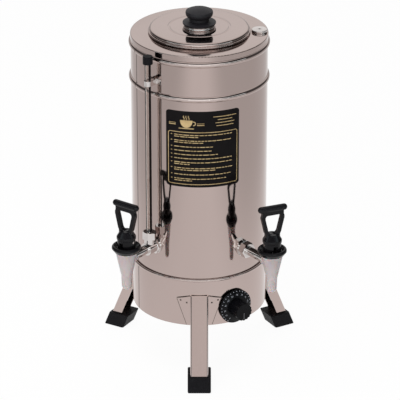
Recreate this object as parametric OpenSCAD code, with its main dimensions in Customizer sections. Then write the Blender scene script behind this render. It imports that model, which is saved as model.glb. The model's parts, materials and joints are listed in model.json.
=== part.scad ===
// Coffee urn: a coffee pot in a heated water jacket, with two self-closing taps and a sight gauge.
// Heights are measured from the floor. Azimuths are measured from the front, towards the right.

/* [Body] */
// Outer radius of the body and the base
body_r = 90; // [86:1:96]
// Thickness of the pressed sheet
sheet = 1; // [0.8:0.1:1.2]
// Height of the base skirt's lower edge above the floor
skirt_z = 73.5; // [68:0.5:80]
// Height of the base skirt up to its rolled bead
skirt_h = 66.5; // [62:0.5:72]
// Height of the body from the rolled bead to the top plate
body_h = 318.5; // [300:0.5:340]
// Radius of the rolled bead on the skirt
skirt_bead_r = 2; // [1.5:0.1:2.4]
// Height of the groove between the base and the body
groove_h = 4; // [3:0.1:5]
// Depth of the body's spigot inside the base
spigot_h = 12; // [9:0.5:15]
// Distance of the rim bead below the top plate
rim_bead_drop = 12; // [10:0.5:15]
// Distance of the upper body bead below the top plate
body_bead_drop = 60; // [45:0.5:75]
// Height of a pressed bead
bead_h = 8; // [6.5:0.5:9]
// How far a pressed bead stands out
bead_out = 2.6; // [2:0.1:3.2]
// How far the top plate's rim stands out from the body
cover_lip = 0.4; // [0.2:0.1:1]
// Rounding of the top plate's rim
cover_edge = 1.2; // [1.1:0.1:1.4]
// Width of the skirt's inner flange
skirt_flange = 11; // [9:0.5:14]

/* [Pot and lid] */
// Distance of the pot's inner wall from the body's outer wall
pot_inset = 30; // [27:0.5:34]
// Height of the right tap's outlet above the pot's bottom
outlet_rise = 8.5; // [7:0.5:12]
// Rounding of the pot's bottom edge
pot_edge = 8; // [5:0.5:12]
// Width of the pot's rim flange
pot_flange = 2.8; // [2:0.1:3.4]
// Height of the lid above the top plate
lid_h = 7.5; // [6.5:0.5:10]
// Rounding of the lid's edge
lid_edge = 3.2; // [2.5:0.1:4]
// Radius of the rolled bead at the lid's foot
lid_bead_r = 1.4; // [1.2:0.1:1.6]
// Depth of the lid's locating ring
lid_ring_h = 16; // [10:1:24]
// Gap between the locating ring and the pot
lid_ring_gap = 1.5; // [1:0.1:2]
// Radius of the pressed ring on the lid
lid_mark_r = 39.6; // [34:0.2:44]
// Height of the pressed ring on the lid
lid_mark_h = 0.4; // [0.3:0.1:0.6]
// Radius of the pressed ring's arc
lid_mark_arc = 4; // [3:0.5:6]
// Radius of the knob's steel ferrule at its top
ferrule_r = 21; // [19:0.5:23]
// Height of the knob's ferrule
ferrule_h = 3.6; // [3:0.1:5]
// Radius of the knob's collar
collar_r = 21.8; // [20:0.1:24]
// Height of the knob's collar
collar_h = 4.6; // [4:0.1:6]
// Radius of the knob's neck
knob_neck_r = 13; // [11:0.5:14]
// Radius of the knob's cap
knob_r = 18; // [16:0.1:20]
// Height of the knob above the ferrule
knob_h = 22; // [20:0.5:25]
// Radius of the rounded edge of the knob's cap
knob_edge = 7; // [6:0.1:7.5]
// Radius of the domed top of the knob
knob_dome_r = 38; // [32:1:60]
// Radius of the knob screw
knob_screw_r = 2; // [1.5:0.1:2.5]
// Radius of the knob screw's head
knob_screw_head_r = 4; // [3.5:0.1:5]
// Height of the knob screw's head
knob_screw_head_h = 2; // [1.5:0.1:3]
// Length of the knob screw inside the knob
knob_screw_in = 10; // [7:0.5:12]

/* [Filler] */
// Gap between the filler cap and the lid
filler_lid_gap = 1.2; // [0.8:0.1:2]
// Distance of the filler cap from the body's edge
filler_edge = 1.1; // [0.5:0.1:2]
// Gap between the filler neck and its cap
filler_gap = 1.9; // [1:0.1:2.5]
// Length of the filler neck below the top plate
filler_depth = 11; // [8:0.5:14]
// Height of the filler neck above the top plate
filler_rise = 1.2; // [0.8:0.1:1.4]
// Height of the filler cap
filler_cap_h = 3.2; // [3:0.1:5]
// Thickness of the filler cap's top
filler_cap_t = 1.5; // [1.2:0.1:1.6]
// Radius of the vent hole in the filler cap
vent_r = 1.5; // [1:0.1:2]
// Depth of the groove round the vent hole
vent_groove = 0.4; // [0.2:0.1:0.8]

/* [Label] */
// Azimuth of the label's centre
label_az = 3.2; // [-5:0.2:10]
// Half of the label's width across
label_half_w = 47.3; // [40:0.1:55]
// Height of the label
label_h = 106.6; // [90:0.2:120]
// Distance of the label's top below the top plate
label_drop = 76.2; // [70:0.2:90]
// Rounding of the label's corners
label_corner = 4; // [2:0.5:8]
// Thickness of the label
label_t = 0.4; // [0.3:0.1:0.6]

/* [Legs and feet] */
// Splay of the legs from upright
leg_splay = 22.5; // [18:0.5:26]
// Distance of the leg's top edge below the skirt's bead
leg_drop = 22; // [18:0.5:26]
// Width of the leg
leg_w = 24; // [20:0.5:28]
// Depth of the leg's side flanges
leg_d = 14; // [12:0.5:16]
// Thickness of the leg's sheet
leg_sheet = 1.5; // [1.2:0.1:2]
// Rounding of the leg's outer folds
leg_fold = 2.6; // [2.2:0.1:3.2]
// Distance of the leg's face from the wall at its top
leg_standoff = 2.6; // [2.2:0.1:3.4]
// Distance below the skirt over which the gusset fades out
gusset_h = 12; // [8:1:30]
// Half width of the leg's wings at their top
wing_top = 30; // [26:0.5:34]
// Half width of the leg's wings at the skirt's lower edge
wing_low = 17; // [14:0.5:22]
// Fall of the wings' top edge towards their tips
wing_fall = 5; // [2:0.5:8]
// Thickness of the wings
wing_t = 1.2; // [1:0.1:1.5]
// Width of a rubber boot
boot_w = 31; // [29:0.5:34]
// Depth of a rubber boot from front to back
boot_d = 30; // [27:0.5:34]
// Height of a rubber boot
boot_h = 19.5; // [16:0.5:24]
// Wall of a rubber boot in front of the leg
boot_wall = 2.5; // [2:0.1:3.5]
// Thickness of the boot's sole under the leg
boot_sole = 4; // [3:0.5:6]
// Rounding of the boot's upright edges
boot_edge = 2.2; // [1.5:0.1:2.4]

/* [Taps] */
// Azimuth of each tap to the side of the front
tap_az = 40; // [36:1:46]
// Reach of the taps' axes from the body wall
tap_reach = 58; // [54:0.5:66]
// Height of the tap shanks above the skirt's bead
shank_rise = 43; // [40:0.5:50]
// How much lower the right tap sits than the left one
right_drop = 4.5; // [0:0.5:6]
// Outer radius of the tap shanks
shank_r = 6; // [5.5:0.1:6.4]
// Bore radius of the tap shanks
shank_bore = 4; // [3:0.1:4.5]
// Radius of the washers at the wall
washer_r = 11.2; // [10:0.2:12]
// Thickness of each washer
washer_t = 1.4; // [1:0.1:1.8]
// Width across the flats of the shank nuts
nut_af = 19; // [17:0.5:22]
// How far the flat end of a nut lies inside its sides
nut_bevel = 0.4; // [0.2:0.1:0.8]
// Length of the right tap's nut
right_nut_len = 9.5; // [7:0.5:14]
// Length of the left tap's locknut in the water jacket
locknut_len = 5; // [4:0.5:7]
// Length of the left shank beyond its locknut
shank_tail = 4; // [2:0.5:6]
// Distance of the right shank's end from the pot
outlet_stop = 5; // [3:0.5:8]
// Wall of the pot's outlet pipe round the shank
outlet_wall = 2; // [1.5:0.1:3]
// Outer radius of the tap body at its top
tap_top_r = 14.5; // [13.5:0.1:16]
// Outer radius of the tap body above its nozzle
tap_waist_r = 7.2; // [6.8:0.1:7.6]
// Outer radius of the nozzle's end
nozzle_r = 6.7; // [6:0.1:6.8]
// Length of the tap body's cone
cone_h = 35; // [32:0.5:40]
// Size of the bevel at the nozzle's end
nozzle_bevel = 1.5; // [0.5:0.1:2]
// Length of the nozzle below the cone
nozzle_h = 18.5; // [14:0.5:22]
// Height of the tap body's top edge above the shank's axis
tap_top_rise = 12; // [11:0.5:15]
// Wall of the tap body
tap_wall = 2; // [1.6:0.1:2.2]
// Length of the threaded collar inside the bonnet
tap_collar_h = 4; // [3:0.5:5]
// Radius of the valve seat's hole
seat_r = 3; // [2.5:0.1:3.4]
// Height of the valve seat's ring
seat_h = 3; // [2:0.1:4]
// Outer radius of the bonnet
bonnet_r = 19.3; // [18.5:0.1:22]
// Outer radius of the bonnet at its foot
bonnet_low_r = 15.8; // [15.4:0.1:17]
// Height of the bonnet's sloping side
bowl_h = 5; // [3:0.5:6]
// Height of the bonnet
bonnet_h = 9; // [8:0.5:11]
// Depth of the dish in the bonnet's top
dish_h = 3; // [2:0.1:4]
// Radius of the dish's flat floor
dish_r = 12.6; // [12.4:0.1:14]
// Rounding of the bonnet's rim
bonnet_edge = 3; // [2:0.1:3.4]
// Radius of the plunger's stem
stem_r = 2.5; // [2:0.1:3]
// Radius of the eye at the stem's top
eye_r = 3.5; // [3.2:0.1:4.2]
// Radius of the plunger's seal
seal_r = 4.5; // [4:0.1:4.6]
// Height of the plunger's seal
seal_h = 5; // [4:0.5:6]
// Radius of the plunger's spring flange
flange_r = 6; // [5.8:0.1:6.4]
// Thickness of the plunger's spring flange
flange_t = 1.5; // [1.2:0.1:2]
// Wire radius of the valve spring
wire_r = 0.6; // [0.4:0.05:0.7]
// Turns of the valve spring
spring_turns = 6; // [4:1:8]

/* [Tap handles] */
// Turn of the left handle about its tap's axis
left_turn = 4; // [-10:1:20]
// Turn of the right handle about its tap's axis
right_turn = -18; // [-30:1:10]
// Radius of the handle's hub
hub_r = 12; // [11:0.1:12.2]
// Radius of the hub's tip inside the loop's root
hub_tip_r = 8; // [7:0.1:9]
// Half width of the loop's root above the ridge
loop_root = 10; // [9:0.1:11]
// Radius of the flat on the hub's base, on which it rocks
cam_r = 8; // [7:0.1:8.6]
// Height of the pin above the hub's base
pin_rise = 8.7; // [8:0.1:10]
// Radius of the handle's pin
pin_r = 1.5; // [1.2:0.05:1.6]
// Height of the ridge above the hub's base
ridge_rise = 12; // [11.5:0.5:15]
// Radius of the ridge on the hub
ridge_r = 12.8; // [12.4:0.1:13.5]
// Height of the ridge on the hub
ridge_h = 3.6; // [3:0.1:5]
// Height of the loop's lowest point above the hub's base
loop_rise = 23.6; // [22:0.2:27]
// Height of the loop's opening
loop_h = 27.6; // [25:0.2:32]
// Radius of the loop's rounded bottom
loop_low_r = 7; // [6:0.1:8]
// Width of the loop's opening at its top
loop_top_w = 22; // [20:0.5:25]
// Rounding of the loop's top corners
loop_corner = 4; // [2:0.1:6]
// Width of the loop's arms
arm_w = 5; // [4:0.1:6]
// Thickness of the loop from front to back
arm_t = 6.4; // [5:0.1:6.8]
// Height of the plain strip under the bar
strip_h = 6.2; // [5:0.2:9]
// Width of the plain strip under the bar
strip_w = 30; // [27:0.5:32]
// Radius of the handle's bar
bar_r = 4.3; // [3.6:0.1:5]
// Length of the handle's bar
bar_len = 41; // [38:0.5:46]

/* [Sight gauge] */
// Distance of the glass from the body wall
gauge_reach = 12.6; // [12.4:0.1:14]
// Outer radius of the glass
glass_r = 4; // [3.6:0.1:4.2]
// Wall of the glass
glass_wall = 1.2; // [0.9:0.1:1.5]
// Distance of the gauge cap's top below the top plate
gauge_drop = 3.5; // [2:0.5:8]
// Height of the gauge cap
gauge_cap_h = 10.5; // [9:0.5:13]
// Radius of the gauge cap
gauge_cap_r = 6.5; // [6:0.1:7]
// Thickness of the gauge cap's top
gauge_cap_t = 2; // [1.5:0.1:3]
// Distance of the clip below the top plate
clip_drop = 41; // [36:0.5:52]
// Height of the clip's strap
clip_h = 7; // [5:0.5:9]
// Thickness of the clip's strap
clip_t = 0.8; // [0.6:0.1:1]
// Length of each of the clip's feet along the wall
clip_foot = 7; // [5:0.5:9]
// Radius of the tee's sleeve on the shank
tee_r = 8.6; // [8.2:0.1:9.4]
// Length of the tee's sleeve on the shank
tee_len = 13.2; // [13:0.1:13.4]
// Height of the tee's neck above the shank's axis
tee_rise = 14; // [12:0.5:17]
// Radius of the tee's neck at its foot
tee_neck_r = 6.5; // [6.4:0.1:6.5]
// Radius of the tee's thread
tee_thread_r = 6.4; // [6.2:0.1:6.6]
// Length of the tee's thread
tee_thread_h = 6; // [5:0.5:8]
// Bore radius of the tee
tee_bore = 3; // [2.4:0.1:3.2]
// Width across the flats of the gauge nut
gauge_nut_af = 16.4; // [15.6:0.2:18]
// Height of the gauge nut
gauge_nut_h = 10; // [9:0.5:12]
// Height of the packing ring
seal_ring_h = 2; // [1.5:0.1:2.5]

/* [Thermostat] */
// Azimuth of the dial
dial_az = 31.3; // [28:0.1:34]
// Height of the dial's centre above the skirt's lower edge
dial_rise = 23.5; // [23:0.5:32]
// Radius of the dial's flange
dial_r = 23.7; // [21:0.1:26]
// Thickness of the dial's flange at its edge
dial_t = 2; // [1.5:0.1:3]
// Rise of the dial's sloping face
dial_slope = 3; // [2:0.1:4]
// Gap between the dial and the wall
dial_gap = 1.6; // [1.4:0.1:2.5]
// Radius of the dial's grip
grip_r = 12; // [10:0.5:13]
// Length of the dial's grip beyond the flange
grip_h = 18; // [16:0.5:24]
// Number of flutes round the grip
flutes = 16; // [10:1:20]
// Radius of each flute
flute_r = 1.5; // [1:0.1:1.6]
// Radius of the thermostat's spindle
spindle_r = 3; // [2.5:0.1:3.5]
// Distance of the spindle's end from the back of the thermostat's case
spindle_stop = 4; // [2:0.5:6]
// Length of the spindle inside the grip
spindle_in = 14; // [8:0.5:16]
// Width of the thermostat's case
thermostat_w = 36; // [30:1:40]
// Height of the thermostat's case
thermostat_h = 32; // [28:1:36]
// Depth of the thermostat's case
thermostat_d = 24; // [20:1:28]
// Distance of the case behind the wall
thermostat_inset = 6; // [5.5:0.5:8]
// Radius of the thermostat's bush in the wall
bush_r = 5; // [4.5:0.1:6]
// Radius of the thermostat's bulb
bulb_r = 3; // [2.5:0.1:3]
// Length of the thermostat's bulb
bulb_len = 50; // [40:1:60]
// Radius of the capillary
capillary_r = 1; // [0.8:0.1:1.2]

/* [Heater and base] */
// Radius of the heater's ring
heater_r = 42; // [36:0.5:48]
// Radius of the heater's tube
heater_tube_r = 4; // [3:0.1:4.5]
// Length of the heater's ends below the boiler's bottom
heater_tail = 20; // [16:1:26]
// Rise of the boiler's bottom above the body's lower edge
boiler_rise = 2; // [2:0.1:4]
// Height of the heater's ring above the boiler's bottom
heater_rise = 18; // [14:0.5:26]
// Angle left open between the heater's ends
heater_gap_angle = 40; // [34:1:60]
// Width across the flats of the heater's nuts
heater_nut_af = 14; // [13:0.5:17]
// Height of the heater's nuts
heater_nut_h = 5; // [4:0.5:6]
// Height of the cord gland above the skirt's lower edge
gland_rise = 24; // [20:0.5:30]
// Bore radius of the cord gland
gland_bore = 4; // [3.5:0.1:4.5]
// Radius of the cord gland in the wall
gland_r = 6; // [5.6:0.1:7]
// Radius of the cord gland's flanges
gland_flange_r = 9; // [8.5:0.1:11]
// Thickness of the cord gland's flanges
gland_flange_t = 3; // [2:0.1:4]
// Radius of the base screws
base_screw_r = 1.5; // [1.2:0.1:2]
// Radius of the base screws' heads
base_screw_head_r = 3; // [2.6:0.1:3.5]
// Height of the base screws' heads
base_screw_head_h = 2; // [1.5:0.1:2.5]
// Length of the base screws above the flange
base_screw_len = 6; // [4:0.5:8]

/* [Clearances] */
// Gap between fixed pieces that fit into each other
fit = 0.05; // [0.03:0.01:0.08]
// Radial gap of a running shaft or pin
running = 0.06; // [0.04:0.01:0.1]
// Gap between a piece that moves and its seat
rest_gap = 0.3; // [0.25:0.05:0.4]

/* [Hidden] */
$fn = 96;

steel = [0.70, 0.65, 0.62];
bright_steel = [0.80, 0.78, 0.77];
black = [0.09, 0.09, 0.10];
rubber = [0.07, 0.07, 0.08];
milky = [0.86, 0.82, 0.80];
clear = [0.80, 0.86, 0.88];
label_black = [0.05, 0.04, 0.04];
brass = [0.75, 0.62, 0.36];
ceramic = [0.88, 0.86, 0.80];

left = -1;
right = 1;
beyond = 1;
through = 8;

base_bead_z = skirt_z + skirt_h;
top_z = base_bead_z + body_h;
joggle_r = body_r - sheet - fit;
shell_z = base_bead_z + skirt_bead_r + groove_h;
spigot_z = base_bead_z - spigot_h;
rim_bead_z = top_z - rim_bead_drop;
body_bead_z = top_z - body_bead_drop;
neck_z = rim_bead_z + bead_h / 2;
bead_arc_r = (bead_out * bead_out + bead_h * bead_h / 4) / (2 * bead_out);
wall_seat_r = body_r + fit;
shank_z = base_bead_z + shank_rise;

pot_r = body_r - pot_inset;
pot_out_r = pot_r + sheet;
pot_z = shank_z - right_drop - outlet_rise;
pot_flange_r = pot_out_r + pot_flange;
boiler_z = spigot_z + boiler_rise;
boiler_edge = sheet / 2;

lid_z = top_z + lid_h;
lid_foot_z = top_z + rest_gap + lid_bead_r;
lid_wall_r = pot_flange_r + rest_gap + lid_bead_r;
lid_ring_r = pot_r - lid_ring_gap;
lid_ring_z = lid_z - sheet - fit;
ferrule_z = lid_z;
knob_z = ferrule_z + ferrule_h;
knob_top = knob_z + knob_h;

lid_out_r = lid_wall_r + lid_bead_r;
filler_cap_r = (body_r - filler_edge - lid_out_r - filler_lid_gap) / 2;
filler_r = filler_cap_r - sheet - filler_gap;
filler_x = body_r - filler_edge - filler_cap_r;
filler_top = top_z + filler_rise;
filler_cap_z = top_z + rest_gap;
filler_cap_top = filler_cap_z + filler_cap_h;
vent_groove_arc = filler_cap_t;

label_top = top_z - label_drop;

leg_top_z = base_bead_z - leg_drop;
leg_top_r = body_r + leg_standoff;
gusset_z = skirt_z - gusset_h;

tap_r = body_r + tap_reach;
tap_top_z = shank_z + tap_top_rise;
waist_z = tap_top_z - cone_h;
nozzle_z = waist_z - nozzle_h;
cone_slope = (tap_top_r - tap_waist_r) / cone_h;
seat_z = waist_z + seat_h;
bonnet_top = tap_top_z + bonnet_h;
dish_z = bonnet_top - dish_h;
bowl_out_r = 2 * bonnet_r - bonnet_low_r;
bonnet_floor_z = tap_top_z + tap_collar_h + fit;
seal_z = seat_z + rest_gap;
stem_z = seal_z + sheet;
flange_z = seal_z + seal_h + fit;
spring_z = flange_z + flange_t + fit;
spring_top = bonnet_floor_z - fit;
spring_r = stem_r + 2 * wire_r + rest_gap;
hub_z = dish_z + rest_gap;
pin_z = hub_z + pin_rise;
side_bite = fit;
washer_out_r = body_r + 2 * washer_t + fit;

gauge_r = body_r + gauge_reach;
gauge_top = top_z - gauge_drop;
tee_top = shank_z + tee_rise;
glass_z = tee_top;
thread_top = tee_top + tee_thread_h;
left_nut_len = gauge_r - tee_len / 2 - washer_out_r - 2 * fit;
gauge_cap_z = gauge_top - gauge_cap_h;
glass_top = gauge_top - gauge_cap_t;

dial_z = skirt_z + dial_rise;
dial_back_r = body_r + dial_gap;
flange_out_r = dial_back_r + dial_t + dial_slope;
thermostat_out_r = body_r - sheet - thermostat_inset;
thermostat_in_r = thermostat_out_r - thermostat_d;
spindle_back_r = thermostat_in_r + spindle_stop;

heater_z = boiler_z + heater_rise;
gland_z = skirt_z + gland_rise;
gland_az = 180;
base_plate_z = skirt_z + sheet;
base_screw_ring = body_r - sheet - skirt_flange / 2;
base_screw_az = [60, 180, 300];
heater_az = [for (side = [-1, 1]) 180 + side * heater_gap_angle / 2];

// Places its children on the wall: local Z points outwards, X to the right and Y up.
module on_wall(az, r, z) rotate([0, 0, az]) translate([0, -r, z]) rotate([90, 0, 0]) children();

// How much lower a tap sits than the left one.
function tap_drop(side) = side == right ? right_drop : 0;

// Places its children on a tap's upright axis, with local -Y towards the user.
module at_tap(side) rotate([0, 0, side * tap_az]) translate([0, -tap_r, -tap_drop(side)]) children();

// Places its children on a tap's shank, at a radius from the urn's axis.
module on_shank(side, r) on_wall(side * tap_az, r, shank_z - tap_drop(side)) children();

// Places its children on a tap's axis, turned as its handle is.
module at_head(side) at_tap(side) rotate([0, 0, side == left ? left_turn : right_turn]) children();

// A cylinder on the urn's own axis, fine enough to cut small pieces to the wall's curve.
module axis_cylinder(r, z, h) translate([0, 0, z]) cylinder(r = r, h = h, $fn = 480);

// A tube between two heights, cut from a ring.
module tube(r, bore, z0, z1) rotate_extrude() translate([bore, z0]) square([r - bore, z1 - z0]);

// Section of one sheet thickness standing on a radius.
module wall_2d(r, z0, z1) translate([r - sheet, z0]) square([sheet, z1 - z0]);

// Solid section of a cap with a rounded upper edge.
module cap_2d(r, z0, z1, edge) {
    translate([0, z0]) square([r, z1 - z0 - edge]);
    translate([0, z0]) square([r - edge, z1 - z0]);
    translate([r - edge, z1 - edge]) circle(edge);
}

// Solid section of a cup with a rounded lower edge.
module cup_2d(r, z0, z1, edge) {
    translate([0, z0 + edge]) square([r, z1 - z0 - edge]);
    translate([0, z0]) square([r - edge, z1 - z0]);
    translate([r - edge, z0 + edge]) circle(edge);
}

// Arc of a pressed bead, inset by a thickness for its hollow back.
module bead_2d(z, inset) intersection() {
    translate([body_r + bead_out - bead_arc_r, z]) circle(bead_arc_r - inset);
    translate([body_r - sheet, z - bead_h]) square([bead_out + 2 * sheet, 2 * bead_h]);
}

// A rectangle with round corners.
module round_rect(w, h, corner) {
    square([w - 2 * corner, h], center = true);
    square([w, h - 2 * corner], center = true);
    for (x = [-1, 1], y = [-1, 1]) translate([x * (w / 2 - corner), y * (h / 2 - corner)]) circle(corner);
}

// A hexagonal nut standing on Z = 0, with the corners of its outer end bevelled.
module hex_nut(af, bore, h) difference() {
    corner_r = af / sqrt(3);
    intersection() {
        cylinder(r = corner_r, h = h, $fn = 6);
        rotate_extrude() polygon([
            [0, -beyond], [corner_r + beyond, -beyond], [corner_r + beyond, h - (corner_r - af / 2)],
            [af / 2 - nut_bevel, h], [0, h]
        ]);
    }
    translate([0, 0, -beyond]) cylinder(r = bore, h = h + 2 * beyond);
}

module body_shell() color(steel) difference() {
    rotate_extrude() difference() {
        union() {
            wall_2d(body_r, shell_z, neck_z + sheet);
            wall_2d(joggle_r, spigot_z, shell_z + sheet);
            wall_2d(joggle_r, neck_z, top_z - sheet - fit);
            for (z = [shell_z, neck_z]) translate([joggle_r - sheet, z])
                square([body_r - joggle_r + sheet, sheet]);
            for (z = [rim_bead_z, body_bead_z]) bead_2d(z, 0);
        }
        for (z = [rim_bead_z, body_bead_z]) bead_2d(z, sheet);
    }
    for (side = [left, right]) on_shank(side, body_r - through)
        cylinder(r = shank_r + fit, h = 2 * through);
}

module base_skirt() color(steel) difference() {
    rotate_extrude() {
        wall_2d(body_r, skirt_z, base_bead_z);
        translate([body_r - sheet - skirt_flange, skirt_z]) square([skirt_flange + sheet, sheet]);
        intersection() {
            translate([body_r, base_bead_z]) circle(skirt_bead_r);
            translate([body_r - sheet, base_bead_z - skirt_bead_r])
                square([4 * skirt_bead_r, 2 * skirt_bead_r]);
        }
    }
    on_wall(dial_az, body_r - through, dial_z) cylinder(r = bush_r + fit, h = 2 * through);
    on_wall(gland_az, body_r - through, gland_z) cylinder(r = gland_r + fit, h = 2 * through);
    base_screw_holes(skirt_z);
}

// Places its children at each base screw.
module at_base_screws(z) for (az = base_screw_az) rotate([0, 0, az])
    translate([0, -base_screw_ring, z]) children();

module base_screw_holes(z) at_base_screws(z - beyond)
    cylinder(r = base_screw_r + fit, h = sheet + 2 * beyond);

module boiler_bottom() color(steel) difference() {
    rotate_extrude() difference() {
        cap_2d(joggle_r - sheet - fit, spigot_z, boiler_z, boiler_edge + sheet);
        cap_2d(joggle_r - 2 * sheet - fit, spigot_z - beyond, boiler_z - sheet, boiler_edge);
    }
    heater_feet(boiler_z - through, boiler_z + beyond, heater_tube_r + fit);
}

module base_plate() color(steel) difference() {
    translate([0, 0, base_plate_z]) cylinder(r = body_r - sheet - 2 * fit, h = sheet);
    base_screw_holes(base_plate_z);
}

module base_screws() color(bright_steel) at_base_screws(skirt_z - base_screw_head_h) {
    cylinder(r = base_screw_head_r, h = base_screw_head_h);
    cylinder(r = base_screw_r, h = base_screw_head_h + base_screw_len);
}

module top_cover() color(steel) difference() {
    rotate_extrude() difference() {
        cap_2d(body_r + cover_lip, neck_z + sheet + fit, top_z, cover_edge);
        translate([0, neck_z]) square([joggle_r + fit, top_z - sheet - neck_z]);
        translate([0, neck_z]) square([pot_out_r + fit, top_z - neck_z + beyond]);
    }
    translate([filler_x, 0, top_z - through]) cylinder(r = filler_r + fit, h = 2 * through);
}

module filler_neck() color(bright_steel) translate([filler_x, 0, 0]) {
    tube(filler_r, filler_r - sheet, top_z - filler_depth, filler_top);
    tube(filler_r + sheet, filler_r - sheet / 2, top_z - 2 * sheet, top_z - sheet - fit);
}

module filler_cap() color(bright_steel) translate([filler_x, 0, 0]) rotate_extrude() difference() {
    cap_2d(filler_cap_r, filler_cap_z, filler_cap_top, sheet);
    translate([0, filler_cap_z - beyond])
        square([filler_cap_r - sheet, filler_cap_h - filler_cap_t + beyond]);
    translate([0, filler_cap_z]) square([vent_r, filler_cap_h + beyond]);
    translate([vent_r + vent_groove_arc, filler_cap_top + vent_groove_arc - vent_groove])
        circle(vent_groove_arc);
}

module coffee_pot() color(bright_steel) difference() {
    rotate_extrude() difference() {
        union() {
            cup_2d(pot_out_r, pot_z, top_z + sheet, pot_edge + sheet);
            translate([0, top_z + fit]) square([pot_flange_r, sheet]);
        }
        cup_2d(pot_r, pot_z + sheet, top_z + sheet + beyond, pot_edge);
    }
    on_shank(right, pot_r - through) cylinder(r = shank_bore, h = 2 * through);
}

module pot_outlet_pipe() color(bright_steel) intersection() {
    difference() {
        on_shank(right, pot_r - through) cylinder(r = shank_r + outlet_wall, h = body_r);
        on_shank(right, pot_r - 2 * through) cylinder(r = shank_bore, h = 2 * body_r);
        on_shank(right, shank_in_r(right) - fit) cylinder(r = shank_r + fit, h = body_r);
        axis_cylinder(pot_out_r + fit, pot_z, 2 * shank_rise);
    }
    axis_cylinder(body_r - sheet - fit, spigot_z, body_h / 2);
}

// Radius at which a tap's shank ends inside the body.
function shank_in_r(side) =
    side == left ? body_r - sheet - locknut_len - shank_tail : pot_out_r + outlet_stop;

module tap_shank(side) color(bright_steel) difference() {
    on_shank(side, shank_in_r(side))
        cylinder(r = shank_r, h = tap_r - shank_r - stem_r - shank_in_r(side));
    on_shank(side, shank_in_r(side) - beyond)
        cylinder(r = shank_bore, h = tap_reach + body_r);
    if (side == left) at_gauge() translate([0, 0, shank_z]) cylinder(r = tee_bore, h = 2 * shank_r);
}

// A saddle washer against the wall and a plain washer in front of it.
module tap_washers(side) color(bright_steel) {
    difference() {
        on_shank(side, body_r - through) cylinder(r = washer_r, h = washer_t + through);
        on_shank(side, body_r - 2 * through) cylinder(r = shank_r + fit, h = 4 * through);
        axis_cylinder(wall_seat_r, shank_z - 2 * washer_r, 4 * washer_r);
    }
    on_shank(side, body_r + washer_t + fit) difference() {
        cylinder(r = washer_r - sheet, h = washer_t);
        translate([0, 0, -beyond]) cylinder(r = shank_r + fit, h = washer_t + 2 * beyond);
    }
}

module tap_nut(side) color(bright_steel) on_shank(side, washer_out_r + fit)
    hex_nut(nut_af, shank_r + fit, side == left ? left_nut_len : right_nut_len);

// The nut lies against the inside of the wall, so its edge is cut to the wall's curve.
module left_tap_locknut() color(brass) intersection() {
    on_shank(left, body_r - sheet - locknut_len) hex_nut(nut_af, shank_r + fit, locknut_len);
    axis_cylinder(body_r - sheet - fit, shank_z - nut_af, 2 * nut_af);
}

module tap_body(side) color(milky) difference() {
    union() {
        at_tap(side) rotate_extrude() polygon([
            [0, nozzle_z], [nozzle_r - nozzle_bevel, nozzle_z], [nozzle_r, nozzle_z + 2 * nozzle_bevel],
            [tap_waist_r, waist_z], [tap_top_r, tap_top_z],
            [tap_top_r, tap_top_z + tap_collar_h], [0, tap_top_z + tap_collar_h]
        ]);
        on_shank(side, tap_r - tap_top_r + sheet)
            cylinder(r = shank_r + tap_wall, h = tap_top_r / 2);
    }
    at_tap(side) rotate_extrude() {
        translate([0, nozzle_z - beyond]) square([nozzle_r - tap_wall, nozzle_h + beyond]);
        translate([0, waist_z - beyond]) square([seat_r, seat_h + 2 * beyond]);
        polygon([
            [0, seat_z], [tap_waist_r - tap_wall + cone_slope * seat_h, seat_z],
            [tap_top_r - tap_wall, tap_top_z], [tap_top_r - tap_wall, tap_top_z + tap_collar_h + beyond],
            [0, tap_top_z + tap_collar_h + beyond]
        ]);
    }
    on_shank(side, tap_r - 2 * tap_top_r)
        cylinder(r = shank_r + fit, h = 2 * tap_top_r - stem_r);
}

module tap_bonnet(side) color(black) at_tap(side) rotate_extrude() difference() {
    intersection() {
        cap_2d(bonnet_r, tap_top_z + fit, bonnet_top, bonnet_edge);
        polygon([
            [0, tap_top_z], [bonnet_low_r, tap_top_z], [bowl_out_r, tap_top_z + 2 * bowl_h],
            [bowl_out_r, bonnet_top + 2 * bowl_h], [0, bonnet_top + 2 * bowl_h]
        ]);
    }
    translate([0, tap_top_z]) square([tap_top_r + fit, bonnet_floor_z - tap_top_z]);
    translate([0, tap_top_z]) square([stem_r + running, bonnet_h + beyond]);
    polygon([
        [0, dish_z], [dish_r, dish_z], [bonnet_r - bonnet_edge, bonnet_top],
        [bonnet_r - bonnet_edge, bonnet_top + beyond], [0, bonnet_top + beyond]
    ]);
}

// A coil of round wire as one closed tube, computed ring by ring.
module coil_spring(r, wire, z0, z1, turns, rings_per_turn = 12, sides = 6) {
    rings = turns * rings_per_turn;
    points = [for (i = [0 : rings], j = [0 : sides - 1])
        let (turn = 360 * i / rings_per_turn, around = 360 * j / sides)
        let (reach = r + wire * cos(around), z = z0 + wire + (z1 - z0 - 2 * wire) * i / rings)
        [reach * cos(turn), reach * sin(turn), z + wire * sin(around)]];
    sides_faces = [for (i = [0 : rings - 1], j = [0 : sides - 1], half = [0, 1])
        let (a = i * sides + j, b = i * sides + (j + 1) % sides)
        half == 0 ? [a, b, a + sides] : [b, b + sides, a + sides]];
    first_cap = [for (j = [1 : sides - 2]) [0, j + 1, j]];
    last_cap = [for (j = [1 : sides - 2]) [rings * sides, rings * sides + j, rings * sides + j + 1]];
    polyhedron(points, concat(sides_faces, first_cap, last_cap));
}

module tap_spring(side) color(bright_steel) at_tap(side)
    coil_spring(spring_r, wire_r, spring_z, spring_top, spring_turns);

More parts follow.
